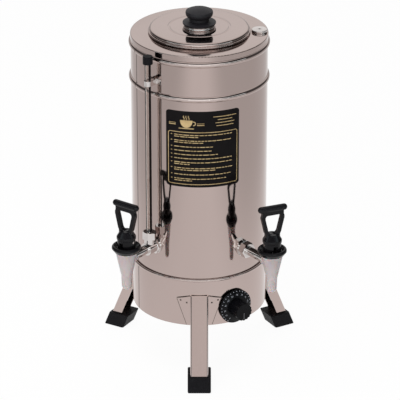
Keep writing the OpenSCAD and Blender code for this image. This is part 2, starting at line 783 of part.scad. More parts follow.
module tap_plunger(side) color(bright_steel) at_head(side) difference() {
    union() {
        translate([0, 0, stem_z]) cylinder(r = stem_r, h = pin_z - stem_z);
        translate([0, 0, flange_z]) cylinder(r = flange_r, h = flange_t);
        translate([0, 0, pin_z]) rotate([0, 90, 0]) cylinder(r = eye_r, h = 2 * stem_r, center = true);
    }
    translate([0, 0, pin_z]) rotate([0, 90, 0]) cylinder(r = pin_r + running, h = 4 * stem_r, center = true);
}

module tap_seal(side) color(rubber) at_tap(side) rotate_extrude() difference() {
    cup_2d(seal_r, seal_z, seal_z + seal_h, sheet);
    translate([0, stem_z - fit]) square([stem_r + fit, seal_h]);
}

// Outline round the loop's opening: one circle at its bottom and one at each top corner, grown by a width.
// The straight sides lie a little inside the circles, so that they cross them and don't just touch.
module loop_2d(grow) {
    rise = loop_h - loop_low_r - loop_corner;
    reach = loop_top_w / 2 - loop_corner;
    tilt = atan2(rise, reach) - acos((loop_low_r - loop_corner) / norm([reach, rise]));
    low = (loop_low_r + grow - side_bite) * [cos(tilt), sin(tilt)];
    high = [reach, rise] + (loop_corner + grow - side_bite) * [cos(tilt), sin(tilt)];
    top = rise + loop_corner + grow - side_bite;
    polygon([low, high, [reach, top], [-reach, top], [-high[0], high[1]], [-low[0], low[1]]]);
    circle(loop_low_r + grow);
    for (x = [-1, 1]) translate([x * reach, rise]) circle(loop_corner + grow);
}

module tap_handle_loop() {
    root_z = hub_z + ridge_rise;
    loop_z = hub_z + loop_rise;
    loop_top = loop_z + loop_h;
    rotate([90, 0, 0]) linear_extrude(height = arm_t, center = true) difference() {
        union() {
            translate([0, loop_z + loop_low_r]) loop_2d(arm_w);
            translate([-strip_w / 2, loop_top - loop_corner]) square([strip_w, loop_corner + strip_h]);
            translate([-loop_root, root_z]) square([2 * loop_root, loop_z + loop_low_r - root_z]);
        }
        translate([0, loop_z + loop_low_r]) loop_2d(0);
    }
    translate([0, 0, loop_top + strip_h + bar_r / 2]) rotate([0, 90, 0]) rotate_extrude() intersection() {
        union() {
            square([2 * bar_r, bar_len - 2 * bar_r], center = true);
            for (end = [-1, 1]) translate([0, end * (bar_len / 2 - bar_r)]) circle(bar_r);
        }
        translate([0, -bar_len]) square([2 * bar_r, 2 * bar_len]);
    }
}

module tap_handle(side) color(black) at_head(side) difference() {
    union() {
        rotate_extrude() polygon([
            [0, hub_z], [hub_r, hub_z], [hub_r, hub_z + ridge_rise],
            [ridge_r, hub_z + ridge_rise], [ridge_r, hub_z + ridge_rise + ridge_h],
            [hub_tip_r, hub_z + loop_rise], [0, hub_z + loop_rise]
        ]);
        tap_handle_loop();
    }
    stem_slot();
    cam_bevel();
    translate([0, 0, pin_z]) rotate([0, 90, 0]) cylinder(r = pin_r + fit / 2, h = 4 * hub_r, center = true);
}

// The hub's front edge is bevelled, so that the handle rocks on a straight line in front of its pin.
module cam_bevel() rotate([90, 0, 90]) linear_extrude(height = 4 * hub_r, center = true) polygon([
    [-cam_r, hub_z], [-cam_r - 2 * hub_r, hub_z + 2 * hub_r],
    [-cam_r - 2 * hub_r, hub_z - beyond], [-cam_r, hub_z - beyond]
]);

// Room for the stem's eye, and for the stem when the handle is pulled forward.
module stem_slot() {
    slot_w = 2 * (stem_r + rest_gap);
    translate([-slot_w / 2, -2 * hub_r, hub_z - beyond])
        cube([slot_w, 2 * hub_r + eye_r + rest_gap, pin_rise + beyond]);
    translate([0, 0, pin_z]) rotate([0, 90, 0]) cylinder(r = eye_r + rest_gap, h = slot_w, center = true);
}

module tap_pin(side) color(bright_steel) at_head(side) translate([0, 0, pin_z]) rotate([0, 90, 0])
    cylinder(r = pin_r, h = 2 * hub_r - sheet, center = true);

// Places its children on the gauge's upright axis.
module at_gauge() rotate([0, 0, left * tap_az]) translate([0, -gauge_r, 0]) children();

module gauge_glass() color(clear, 0.5) at_gauge()
    tube(glass_r, glass_r - glass_wall, glass_z + fit, glass_top - fit);

module gauge_cap() color(black) at_gauge() rotate_extrude() difference() {
    cap_2d(gauge_cap_r, gauge_cap_z, gauge_top, sheet);
    translate([0, gauge_cap_z - beyond]) square([glass_r + fit, glass_top - gauge_cap_z + beyond]);
}

// A strap round the front of the glass, with a foot on the wall at each side.
module gauge_clip() color(bright_steel) {
    clip_z = top_z - clip_drop;
    strap_in = glass_r + fit;
    foot_angle = clip_foot * 180 / (PI * body_r);
    gap_angle = asin((strap_in + clip_t / 2) / body_r);
    at_gauge() translate([0, 0, clip_z - clip_h / 2]) linear_extrude(height = clip_h) difference() {
        union() {
            circle(strap_in + clip_t);
            translate([-strap_in - clip_t, 0]) square([2 * (strap_in + clip_t), gauge_reach - clip_t / 2]);
        }
        circle(strap_in);
        translate([-strap_in, 0]) square([2 * strap_in, gauge_reach + beyond]);
    }
    for (start = [gap_angle, -gap_angle - foot_angle])
        translate([0, 0, clip_z - clip_h / 2]) rotate([0, 0, left * tap_az + start - 90])
            rotate_extrude(angle = foot_angle) translate([wall_seat_r, 0]) square([clip_t, clip_h]);
}

module gauge_tee() color(bright_steel) difference() {
    union() {
        on_shank(left, gauge_r - tee_len / 2) cylinder(r = tee_r, h = tee_len);
        at_gauge() rotate_extrude() polygon([
            [0, shank_z + shank_r / 2], [tee_neck_r, shank_z + shank_r / 2], [tee_thread_r, tee_top],
            [tee_thread_r, thread_top], [0, thread_top]
        ]);
    }
    on_shank(left, gauge_r - tee_len) cylinder(r = shank_r + fit, h = 2 * tee_len);
    at_gauge() translate([0, 0, shank_z]) cylinder(r = tee_bore, h = 2 * tee_rise);
    at_gauge() translate([0, 0, glass_z]) cylinder(r = glass_r + fit, h = 2 * tee_thread_h);
}

module gauge_nut() color(bright_steel) at_gauge() translate([0, 0, tee_top + fit]) difference() {
    hex_nut(gauge_nut_af, glass_r + 2 * fit, gauge_nut_h);
    translate([0, 0, -beyond])
        cylinder(r = tee_thread_r + fit, h = tee_thread_h + seal_ring_h + fit + beyond);
}

module gauge_seal() color(rubber) at_gauge()
    tube(tee_thread_r - fit, glass_r + fit, thread_top + fit, thread_top + seal_ring_h);

module label_plate() color(label_black) intersection() {
    difference() {
        axis_cylinder(wall_seat_r + label_t, label_top - label_h - beyond, label_h + 2 * beyond);
        axis_cylinder(wall_seat_r, label_top - label_h - 2 * beyond, label_h + 4 * beyond);
    }
    on_wall(label_az, 0, label_top - label_h / 2) linear_extrude(height = 2 * body_r)
        round_rect(2 * label_half_w, label_h, label_corner);
}

// Places its children along the leg: local Z runs up the leg and -Y faces outwards.
module along_leg() translate([0, -leg_top_r, leg_top_z]) rotate([-leg_splay, 0, 0]) children();

// Radius of the leg's outer face at a height.
function leg_face_r(z) = leg_top_r + (leg_top_z - z) * tan(leg_splay);

// Outer section of the folded leg, to a given depth and grown by a clearance.
module fold_2d(depth, grow) {
    translate([-leg_w / 2 - grow, leg_fold]) square([leg_w + 2 * grow, depth - leg_fold + grow]);
    translate([-leg_w / 2 + leg_fold, -grow]) square([leg_w - 2 * leg_fold, leg_fold + 2 * grow]);
    for (x = [-1, 1]) translate([x * (leg_w / 2 - leg_fold), leg_fold]) circle(leg_fold + grow);
}

// Section of the space between the leg's flanges, shrunk by a clearance.
module hollow_2d(depth, grow) translate([-leg_w / 2 + leg_sheet + grow, leg_sheet + grow])
    square([leg_w - 2 * (leg_sheet + grow), depth]);

// Extrudes a section along the leg, past both of its ends.
module up_leg() along_leg() translate([0, 0, -2 * leg_top_z])
    linear_extrude(height = 3 * leg_top_z) children();

// The leg from the side: its flanges widen into a gusset that reaches under the base.
module leg_side_2d() {
    bottom_z = boot_sole + fit;
    flange_depth = leg_d / cos(leg_splay);
    polygon([
        [-leg_face_r(leg_top_z) - beyond, leg_top_z], [-leg_face_r(bottom_z) - beyond, bottom_z],
        [-leg_face_r(bottom_z) + flange_depth, bottom_z], [-leg_face_r(gusset_z) + flange_depth, gusset_z],
        [-body_r + 2 * leg_fold, skirt_z], [-body_r + 2 * leg_fold, leg_top_z]
    ]);
}

// The wings that are welded to the base, before they are cut to its curve.
module leg_wings() intersection() {
    axis_cylinder(wall_seat_r + wing_t, skirt_z, skirt_h);
    rotate([90, 0, 0]) linear_extrude(height = 2 * body_r) for (x = [-1, 1]) polygon([
        [x * (leg_w - leg_sheet) / 2, skirt_z + wing_t], [x * wing_low, skirt_z + wing_t],
        [x * wing_top, leg_top_z - wing_fall], [x * (leg_w - leg_sheet) / 2, leg_top_z - wing_t]
    ]);
}

module leg(az) color(steel) rotate([0, 0, az]) difference() {
    union() {
        difference() {
            intersection() {
                rotate([90, 0, 90]) linear_extrude(height = 2 * leg_w, center = true) leg_side_2d();
                up_leg() fold_2d(body_r, 0);
            }
            up_leg() hollow_2d(body_r, 0);
        }
        leg_wings();
    }
    axis_cylinder(wall_seat_r, skirt_z, skirt_h);
}

module foot(az) color(rubber) rotate([0, 0, az]) difference() {
    intersection() {
        along_leg() translate([0, boot_d * cos(leg_splay) / 2 - boot_wall, -2 * leg_top_z])
            linear_extrude(height = 2 * leg_top_z) round_rect(boot_w, boot_d * cos(leg_splay), boot_edge);
        translate([-2 * boot_w, -4 * body_r, 0]) cube([4 * boot_w, 4 * body_r, boot_h]);
    }
    intersection() {
        up_leg() difference() {
            fold_2d(leg_d, fit);
            hollow_2d(2 * leg_d, fit);
        }
        translate([-2 * boot_w, -4 * body_r, boot_sole]) cube([4 * boot_w, 4 * body_r, 2 * boot_h]);
    }
}

// Places its children at each end of the heater's ring.
module at_heater_ends(z) for (az = heater_az) rotate([0, 0, az]) translate([0, -heater_r, z]) children();

module heater_feet(z0, z1, r) at_heater_ends(z0) cylinder(r = r, h = z1 - z0);

module heating_element() color(bright_steel) {
    translate([0, 0, heater_z]) rotate([0, 0, 90 + heater_gap_angle / 2])
        rotate_extrude(angle = 360 - heater_gap_angle) translate([heater_r, 0]) circle(heater_tube_r);
    at_heater_ends(heater_z) sphere(heater_tube_r + fit);
    heater_feet(boiler_z - heater_tail, heater_z, heater_tube_r);
}

module element_nuts() color(brass) at_heater_ends(boiler_z - sheet - heater_nut_h - fit)
    hex_nut(heater_nut_af, heater_tube_r + fit, heater_nut_h);

module thermostat_body() color(ceramic) on_wall(dial_az, thermostat_in_r, dial_z) difference() {
    union() {
        translate([0, 0, thermostat_d / 2]) cube([thermostat_w, thermostat_h, thermostat_d], center = true);
        cylinder(r = bush_r, h = body_r + dial_gap / 2 - thermostat_in_r);
    }
    translate([0, 0, spindle_stop - rest_gap]) cylinder(r = spindle_r + running, h = 2 * body_r);
}

module thermostat_spindle() color(bright_steel) on_wall(dial_az, spindle_back_r, dial_z)
    cylinder(r = spindle_r, h = flange_out_r + spindle_in - spindle_back_r);

module thermostat_dial() color(black) on_wall(dial_az, dial_back_r, dial_z) difference() {
    union() {
        rotate_extrude() polygon([
            [0, 0], [dial_r, 0], [dial_r, dial_t], [grip_r + 2 * flute_r, dial_t + dial_slope],
            [0, dial_t + dial_slope]
        ]);
        linear_extrude(height = dial_t + dial_slope + grip_h) difference() {
            circle(grip_r);
            for (i = [0 : flutes - 1]) rotate(360 * (i + 0.5) / flutes)
                translate([grip_r + flute_r / 2, 0]) circle(flute_r);
        }
    }
    translate([0, 0, -beyond])
        cylinder(r = spindle_r + fit / 2, h = dial_t + dial_slope + spindle_in + fit + beyond);
}

// The bulb lies under the boiler's bottom, and its capillary bends down into the thermostat's case.
module thermostat_bulb() color(brass) {
    bulb_z = boiler_z - sheet - bulb_r - fit;
    case_top = dial_z + thermostat_h / 2 + fit;
    bend_r = 2 * capillary_r + bulb_r / 2;
    start_r = thermostat_in_r + thermostat_d / 2;
    rotate([0, 0, dial_az]) {
        translate([0, -start_r, case_top]) cylinder(r = capillary_r, h = bulb_z - bend_r - case_top);
        translate([0, -start_r + bend_r, bulb_z - bend_r]) rotate([0, -90, 0]) rotate([0, 0, -90])
            rotate_extrude(angle = 90) translate([bend_r, 0]) circle(capillary_r);
        translate([0, -start_r + bend_r, bulb_z]) rotate([-90, 0, 0])
            cylinder(r = capillary_r, h = 2 * bend_r);
        translate([0, -start_r + 2 * bend_r, bulb_z]) rotate([-90, 0, 0]) cylinder(r = bulb_r, h = bulb_len);
    }
}

module cord_gland() color(black) difference() {
    union() {
        difference() {
            on_wall(gland_az, body_r - gland_flange_t, gland_z)
                cylinder(r = gland_flange_r, h = 2 * gland_flange_t);
            axis_cylinder(wall_seat_r, skirt_z, skirt_h);
        }
        intersection() {
            on_wall(gland_az, body_r - sheet - 2 * gland_flange_t, gland_z)
                cylinder(r = gland_flange_r, h = 4 * gland_flange_t);
            axis_cylinder(body_r - sheet - fit, skirt_z, skirt_h);
        }
        on_wall(gland_az, body_r - sheet - gland_flange_t, gland_z)
            cylinder(r = gland_r, h = 2 * gland_flange_t);
    }
    on_wall(gland_az, 0, gland_z) cylinder(r = gland_bore, h = 2 * body_r);
}

module pot_lid() color(steel) difference() {
    rotate_extrude() {
        difference() {
            union() {
                cap_2d(lid_wall_r, lid_foot_z, lid_z, lid_edge);
                translate([lid_wall_r, lid_foot_z]) circle(lid_bead_r);
            }
            cap_2d(lid_wall_r - sheet, lid_foot_z - 2 * lid_bead_r, lid_z - sheet, lid_edge - sheet);
        }
        translate([lid_mark_r, lid_z + lid_mark_h - lid_mark_arc]) intersection() {
            circle(lid_mark_arc);
            translate([-lid_mark_arc, lid_mark_arc - lid_mark_h - sheet / 2]) square(2 * lid_mark_arc);
        }
    }
    translate([0, 0, lid_z - through]) cylinder(r = knob_screw_r + fit, h = 2 * through);
}

// A ring welded under the lid, which keeps it in the pot's mouth.
module lid_ring() color(steel) rotate_extrude()
    wall_2d(lid_ring_r, lid_ring_z - lid_ring_h, lid_ring_z);

module knob_ferrule() color(bright_steel) rotate_extrude() difference() {
    polygon([
        [knob_screw_r + fit, ferrule_z + fit], [ferrule_r - sheet, ferrule_z + fit],
        [ferrule_r, ferrule_z + sheet], [ferrule_r, knob_z], [knob_screw_r + fit, knob_z]
    ]);
    translate([ferrule_r + sheet / 2, ferrule_z + ferrule_h / 2]) circle(sheet);
}

module lid_knob() color(black) difference() {
    rotate_extrude() {
        cap_z = knob_top - 2 * knob_edge;
        polygon([
            [0, knob_z + fit], [collar_r - sheet, knob_z + fit], [collar_r, knob_z + sheet],
            [collar_r, knob_z + collar_h / 2], [knob_neck_r, knob_z + collar_h],
            [knob_neck_r, cap_z + knob_edge], [0, cap_z + knob_edge]
        ]);
        intersection() {
            union() {
                translate([0, cap_z]) square([knob_r - knob_edge, 2 * knob_edge]);
                translate([knob_r - knob_edge, cap_z + knob_edge]) circle(knob_edge);
            }
            translate([0, knob_top - knob_dome_r]) intersection() {
                circle(knob_dome_r);
                translate([0, -knob_dome_r]) square([knob_dome_r, 2 * knob_dome_r]);
            }
        }
    }
    translate([0, 0, knob_z - beyond])
        cylinder(r = knob_screw_r + fit / 2, h = knob_screw_in + beyond + fit);
}

module knob_screw() color(bright_steel) {
    head_z = lid_z - sheet - fit - knob_screw_head_h;
    translate([0, 0, head_z]) cylinder(r = knob_screw_head_r, h = knob_screw_head_h);
    translate([0, 0, head_z]) cylinder(r = knob_screw_r, h = knob_z + knob_screw_in - head_z);
}

body_shell();
base_skirt();
boiler_bottom();
base_plate();
base_screws();
top_cover();
filler_neck();
coffee_pot();
pot_outlet_pipe();
heating_element();
element_nuts();
thermostat_body();
thermostat_bulb();
cord_gland();
label_plate();
leg(0);  // leg_front
leg(-120);  // leg_left
leg(120);  // leg_right
foot(0);  // foot_front
foot(-120);  // foot_left
foot(120);  // foot_right
gauge_glass();
gauge_cap();
gauge_clip();
gauge_tee();
gauge_nut();
gauge_seal();
tap_shank(left);  // left_tap_shank
tap_washers(left);  // left_tap_washers
tap_nut(left);  // left_tap_nut
left_tap_locknut();
tap_body(left);  // left_tap_body
tap_bonnet(left);  // left_tap_bonnet
tap_spring(left);  // left_tap_spring
tap_plunger(left);  // left_tap_plunger
tap_seal(left);  // left_tap_seal
tap_handle(left);  // left_tap_handle
tap_pin(left);  // left_tap_pin
tap_shank(right);  // right_tap_shank
tap_washers(right);  // right_tap_washers
tap_nut(right);  // right_tap_nut
tap_body(right);  // right_tap_body
tap_bonnet(right);  // right_tap_bonnet
tap_spring(right);  // right_tap_spring
tap_plunger(right);  // right_tap_plunger
tap_seal(right);  // right_tap_seal
tap_handle(right);  // right_tap_handle
tap_pin(right);  // right_tap_pin
pot_lid();
lid_ring();
knob_ferrule();
lid_knob();
knob_screw();
filler_cap();
thermostat_dial();
thermostat_spindle();
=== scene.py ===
# %% [markdown]
# # A coffee urn in polished steel
# The urn is a tall drum of mirror-polished sheet on three splayed legs. Its shapes, joints and sizes come
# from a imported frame, so this script never moves a part. It gives each part its finish, and it adds what is
# printed, welded, moulded or wound on the parts. All lengths are in metres.

# %% Load the frame
import json
import math
import random

import bmesh
import bpy
from mathutils import Matrix, Vector


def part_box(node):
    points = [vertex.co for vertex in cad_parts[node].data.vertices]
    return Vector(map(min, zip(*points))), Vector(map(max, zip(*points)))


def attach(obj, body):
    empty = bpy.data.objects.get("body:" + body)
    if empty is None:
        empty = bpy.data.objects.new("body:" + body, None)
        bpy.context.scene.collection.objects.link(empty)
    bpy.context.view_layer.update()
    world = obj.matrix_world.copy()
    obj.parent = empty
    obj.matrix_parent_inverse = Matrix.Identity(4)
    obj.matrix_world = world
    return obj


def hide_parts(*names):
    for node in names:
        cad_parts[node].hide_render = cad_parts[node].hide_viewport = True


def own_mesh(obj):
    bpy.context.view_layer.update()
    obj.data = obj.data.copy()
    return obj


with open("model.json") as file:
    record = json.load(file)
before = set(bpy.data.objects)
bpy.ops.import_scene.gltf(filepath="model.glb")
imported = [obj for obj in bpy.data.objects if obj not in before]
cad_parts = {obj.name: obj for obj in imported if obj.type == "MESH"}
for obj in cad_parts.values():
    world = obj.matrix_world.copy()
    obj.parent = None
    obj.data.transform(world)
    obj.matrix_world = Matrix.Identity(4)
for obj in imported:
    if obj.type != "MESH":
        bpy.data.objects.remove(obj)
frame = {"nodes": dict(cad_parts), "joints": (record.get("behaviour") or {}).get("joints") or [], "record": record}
nodes = frame["nodes"]
joints = {joint["name"]: joint for joint in frame["joints"]}
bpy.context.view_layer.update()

# %% [markdown]
# ## Camera
# The photograph looks down at the urn with a long lens. A camera can be set by eye, but this one's place was
# found from the ellipses of the rim and the beads, and from the three feet, so parts can be compared. A long
# lens far away keeps the drum's sides nearly parallel.

# %% Make the camera
CAMERA_PLACE = Vector((0.00094, -3.22006, 1.6987))
CAMERA_TILT = math.radians(65.28)
CAMERA_LENS = 237.6
CAMERA_SENSOR = 36.0
CAMERA_NEAR = 0.05
CAMERA_FAR = 100.0

camera_data = bpy.data.cameras.new("photo_camera")
camera_data.sensor_width = CAMERA_SENSOR
camera_data.lens = CAMERA_LENS
camera_data.clip_start = CAMERA_NEAR
camera_data.clip_end = CAMERA_FAR
camera = bpy.data.objects.new("photo_camera", camera_data)
camera.location = CAMERA_PLACE
camera.rotation_euler = (CAMERA_TILT, 0.0, 0.0)
bpy.context.scene.collection.objects.link(camera)
bpy.context.scene.camera = camera
print("camera:", round(CAMERA_PLACE.length, 2), "m away, lens", CAMERA_LENS, "mm")

# %% [markdown]
# ## Helpers for node trees
# Every material here is a small tree of nodes. Short helpers keep the trees readable: one adds a node with
# its settings, one links nodes by the names of their sockets, and one puts a new object in the scene.

# %% Define the node helpers
def add_node(tree, kind, **settings):
    node = tree.nodes.new(kind)
    for name, value in settings.items():
        setattr(node, name, value)
    return node


def wire(tree, *links):
    """Each link gives a node, its output, the next node and its input."""
    for source, output, target, entry in links:
        tree.links.new(source.outputs[output], target.inputs[entry])


def link_object(piece):
    bpy.context.scene.collection.objects.link(piece)
    return piece


# A Mix node has a set of sockets for each kind of data, and these are the ones for colours.
MIX_SHARE = 0
MIX_FIRST = 6
MIX_SECOND = 7
MIX_RESULT = 2
WHITE = (1.0, 1.0, 1.0, 1.0)
print("helpers ready")

# %% [markdown]
# ## Shared effects
# Sheet metal, plastic and rubber all show cloudy unevenness and a fine grain, at different scales. Each
# effect is one node group, built once and placed in every material with its own values. A group gives out
# only values that change over the surface.

# %% Build the cloud and grain groups
NOISE_LOW = 0.3
NOISE_HIGH = 0.7


def new_group(name, inputs, outputs):
    group = bpy.data.node_groups.new(name, "ShaderNodeTree")
    for label, value in inputs.items():
        kind = "NodeSocketVector" if isinstance(value, tuple) else "NodeSocketFloat"
        socket = group.interface.new_socket(label, in_out="INPUT", socket_type=kind)
        socket.default_value = value
    for label in outputs:
        group.interface.new_socket(label, in_out="OUTPUT", socket_type="NodeSocketFloat")
    return group, add_node(group, "NodeGroupInput"), add_node(group, "NodeGroupOutput")


def build_noise_group(name, detail):
    """Noise over object coordinates, stretched along each axis and mapped to a range."""
    inputs = {"Scale": 40.0, "Stretch": (1.0, 1.0, 1.0), "Low": 0.0, "High": 1.0}
    group, entry, result = new_group(name, inputs, ["Value"])
    place = add_node(group, "ShaderNodeTexCoord")
    mapping = add_node(group, "ShaderNodeMapping")
    noise = add_node(group, "ShaderNodeTexNoise")
    noise.inputs["Detail"].default_value = detail
    spread = add_node(group, "ShaderNodeMapRange")
    spread.inputs["From Min"].default_value = NOISE_LOW
    spread.inputs["From Max"].default_value = NOISE_HIGH
    wire(group,
         (place, "Object", mapping, "Vector"),
         (entry, "Stretch", mapping, "Scale"),
         (mapping, "Vector", noise, "Vector"),
         (entry, "Scale", noise, "Scale"),
         (noise, 0, spread, "Value"),
         (entry, "Low", spread, "To Min"),
         (entry, "High", spread, "To Max"),
         (spread, "Result", result, "Value"))
    return group


CLOUD = build_noise_group("cloud", detail=2.0)
GRAIN = build_noise_group("grain", detail=5.0)
print("effects:", CLOUD.name, "and", GRAIN.name)

# %% [markdown]
# ## A finish
# A finish is a Principled shader whose colour swings between two tones with the cloud, whose roughness
# swings with the grain, and whose normal can carry a fine bump. What stays the same all over the surface,
# such as the index of refraction, is set on the shader's own socket.

# %% Define the finish builder
EVEN = (1.0, 1.0, 1.0)
UPRIGHT = (1.0, 1.0, 0.02)


def place_group(tree, group, values):
    node = add_node(tree, "ShaderNodeGroup", node_tree=group)
    for name, value in values.items():
        node.inputs[name].default_value = value
    return node


def new_finish(name, tones, roughness, cloud, grain, bump=0.0, constants=None):
    """tones and roughness are pairs of low and high values; cloud and grain give scale and stretch."""
    material = bpy.data.materials.new(name)
    material.use_nodes = True
    tree = material.node_tree
    shader = tree.nodes["Principled BSDF"]
    for socket, value in (constants or {}).items():
        shader.inputs[socket].default_value = value
    clouds = place_group(tree, CLOUD, {"Scale": cloud[0], "Stretch": cloud[1]})
    blend = add_node(tree, "ShaderNodeMix", data_type="RGBA")
    blend.inputs[MIX_FIRST].default_value = (*tones[0], 1.0)
    blend.inputs[MIX_SECOND].default_value = (*tones[1], 1.0)
    grains = place_group(tree, GRAIN, {"Scale": grain[0], "Stretch": grain[1]})
    grains.inputs["Low"].default_value = roughness[0]
    grains.inputs["High"].default_value = roughness[1]
    wire(tree,
         (clouds, "Value", blend, MIX_SHARE),
         (blend, MIX_RESULT, shader, "Base Color"),
         (grains, "Value", shader, "Roughness"))
    if bump > 0.0:
        relief = place_group(tree, GRAIN, {"Scale": grain[0], "Stretch": grain[1]})
        raised = add_node(tree, "ShaderNodeBump")
        raised.inputs["Distance"].default_value = bump
        wire(tree, (relief, "Value", raised, "Height"), (raised, "Normal", shader, "Normal"))
    return material


print("a finish takes its grain even or stretched upright:", EVEN, UPRIGHT)

# %% [markdown]
# ## Steel, chrome and brass
# The drum, base, top and legs are mirror-polished stainless sheet with a warm grey tint. Polishing leaves
# faint upright streaks, so the grain is stretched along the height. Turned fittings are plated and
# brighter. The pot, pipes and screws inside are satin.

# %% Make the metals
polished_steel = new_finish(
    "polished_steel", ((0.450, 0.362, 0.338), (0.490, 0.398, 0.372)), (0.045, 0.085),
    (9.0, (1.0, 1.0, 0.25)), (160.0, UPRIGHT), constants={"Metallic": 1.0})
inner_steel = new_finish(
    "inner_steel", ((0.50, 0.47, 0.45), (0.58, 0.55, 0.53)), (0.22, 0.34),
    (30.0, EVEN), (260.0, UPRIGHT), constants={"Metallic": 1.0})
bright_fittings = new_finish(
    "bright_fittings", ((0.60, 0.56, 0.545), (0.70, 0.66, 0.645)), (0.05, 0.11),
    (60.0, EVEN), (400.0, EVEN), constants={"Metallic": 1.0})
chrome = new_finish(
    "chrome", ((0.80, 0.78, 0.77), (0.90, 0.88, 0.87)), (0.04, 0.09),
    (60.0, EVEN), (400.0, EVEN), constants={"Metallic": 1.0})
brass_fittings = new_finish(
    "brass_fittings", ((0.52, 0.36, 0.13), (0.62, 0.45, 0.19)), (0.20, 0.32),
    (80.0, EVEN), (500.0, EVEN), constants={"Metallic": 1.0})
# This dark steel marks the seams and spot welds, and it also paints the shade line along the leg wings' edges.
weld_and_shade_steel = new_finish(
    "weld_and_shade_steel", ((0.105, 0.085, 0.075), (0.165, 0.135, 0.120)), (0.30, 0.45),
    (300.0, EVEN), (900.0, EVEN), bump=0.00006, constants={"Metallic": 1.0})
print("metals: polished, inner and weld steel, bright fittings, chrome, brass")

# %% [markdown]
# ## Plastics, rubber and glass
# The knob, dial, handles and bonnets are black moulded plastic with a soft shine. The boots are duller
# rubber. The tap bodies are milky plastic that lets some light in, which subsurface scattering gives.
# The sight glass is clear, so it keeps a plain transmission.

# %% Make the plastics and the glass
black_plastic = new_finish(
    "black_plastic", ((0.0050, 0.0045, 0.0055), (0.0080, 0.0075, 0.0090)), (0.10, 0.17),
    (45.0, EVEN), (900.0, EVEN), bump=0.00002, constants={"Specular IOR Level": 0.15})
deep_plastic = new_finish(
    "deep_plastic", ((0.0030, 0.0030, 0.0040), (0.0050, 0.0050, 0.0062)), (0.20, 0.30),
    (45.0, EVEN), (900.0, EVEN), bump=0.00002, constants={"Specular IOR Level": 0.10})
matt_plastic = new_finish(
    "matt_plastic", ((0.0115, 0.0108, 0.0130), (0.0160, 0.0150, 0.0180)), (0.40, 0.52),
    (45.0, EVEN), (900.0, EVEN), bump=0.00004, constants={"Specular IOR Level": 0.22})
black_rubber = new_finish(
    "black_rubber", ((0.0040, 0.0034, 0.0044), (0.0065, 0.0058, 0.0072)), (0.42, 0.58),
    (60.0, EVEN), (1200.0, EVEN), bump=0.00008, constants={"Specular IOR Level": 0.10})
milky_plastic = new_finish(
    "milky_plastic", ((0.47, 0.415, 0.42), (0.53, 0.47, 0.475)), (0.26, 0.36),
    (30.0, EVEN), (500.0, EVEN),
    constants={"Subsurface Weight": 0.35, "Subsurface Scale": 0.004, "Specular IOR Level": 0.4})
ceramic_case = new_finish(
    "ceramic_case", ((0.68, 0.65, 0.57), (0.76, 0.73, 0.66)), (0.50, 0.66),
    (70.0, EVEN), (700.0, EVEN), bump=0.00005)
gauge_glass = new_finish(
    "gauge_glass", ((0.84, 0.79, 0.76), (0.90, 0.85, 0.82)), (0.01, 0.03),
    (40.0, EVEN), (200.0, EVEN), constants={"Transmission Weight": 1.0, "IOR": 1.47})
print("moulded finishes: four blacks, milky plastic, ceramic and glass")

# %% [markdown]
# ## Foil and print
# The label is a black foil with gold print, the dial has pale print, and the sight glass has painted dark shade on
# its edges.
# Print could be painted into one material with a picture. Here each ink is a finish of its own, because the
# print is made as thin pieces later on.

# %% Make the foil and the inks
label_foil = new_finish(
    "label_foil", ((0.0040, 0.0030, 0.0034), (0.0062, 0.0050, 0.0054)), (0.16, 0.26),
    (50.0, EVEN), (700.0, EVEN), constants={"Specular IOR Level": 0.08})
gold_print = new_finish(
    "gold_print", ((0.42, 0.29, 0.13), (0.58, 0.43, 0.21)), (0.34, 0.48),
    (90.0, EVEN), (900.0, EVEN), constants={"Metallic": 0.35})
white_print = new_finish(
    "white_print", ((0.27, 0.29, 0.33), (0.37, 0.39, 0.43)), (0.45, 0.58),
    (90.0, EVEN), (900.0, EVEN))
grey_print = new_finish(
    "grey_print", ((0.10, 0.10, 0.11), (0.15, 0.15, 0.16)), (0.45, 0.58),
    (90.0, EVEN), (900.0, EVEN))
# The dark ink of the painted shade on the sight glass's edges.
gauge_shade_ink = new_finish(
    "gauge_shade_ink", ((0.006, 0.004, 0.004), (0.014, 0.010, 0.009)), (0.35, 0.50),
    (90.0, EVEN), (900.0, EVEN), constants={"Specular IOR Level": 0.06})
print("inks: gold, white, grey and the gauge's dark line")

# %% [markdown]
# ## Finishes on the parts
# The record says which slot each part takes its finish from, so one loop dresses them all. Three parts get
# a finish of their own: the knob is a matt black, the dial a deeper black, and the ferrule under the knob
# is brighter chrome.

# %% Dress the parts
FINISH_OF_SLOT = {
    "polished_steel": polished_steel, "inner_steel": inner_steel, "bright_fittings": bright_fittings,
    "brass_fittings": brass_fittings, "black_plastic": black_plastic, "black_rubber": black_rubber,
    "milky_plastic": milky_plastic, "gauge_glass": gauge_glass, "label_foil": label_foil,
    "ceramic_case": ceramic_case,
}


def dress(piece, material):
    piece.data.materials.clear()
    piece.data.materials.append(material)


for subpart in frame["record"]["subparts"]:
    dress(nodes[subpart["node"]], FINISH_OF_SLOT[subpart["material_slot"]])
dress(nodes["lid_knob"], matt_plastic)
dress(nodes["knob_ferrule"], chrome)
dress(nodes["thermostat_dial"], deep_plastic)

# %% [markdown]
# ## Moulded edges
# Black plastic and rubber come out of a mould with soft edges, and the frame's solids have sharp ones.
# A bevel would need clean edges to follow. Instead, a copy of the solid is remeshed into even voxels and
# smoothed, which rounds every edge a little and keeps the size. The copy then stands for the sharp part.

# %% Soften the moulded parts
HANDLE_VOXEL = 0.0004
BOOT_VOXEL = 0.0005
SOFTEN_FACTOR = 0.5
SOFTEN_PASSES = 3
SOLID_MERGE_GAP = 1e-6


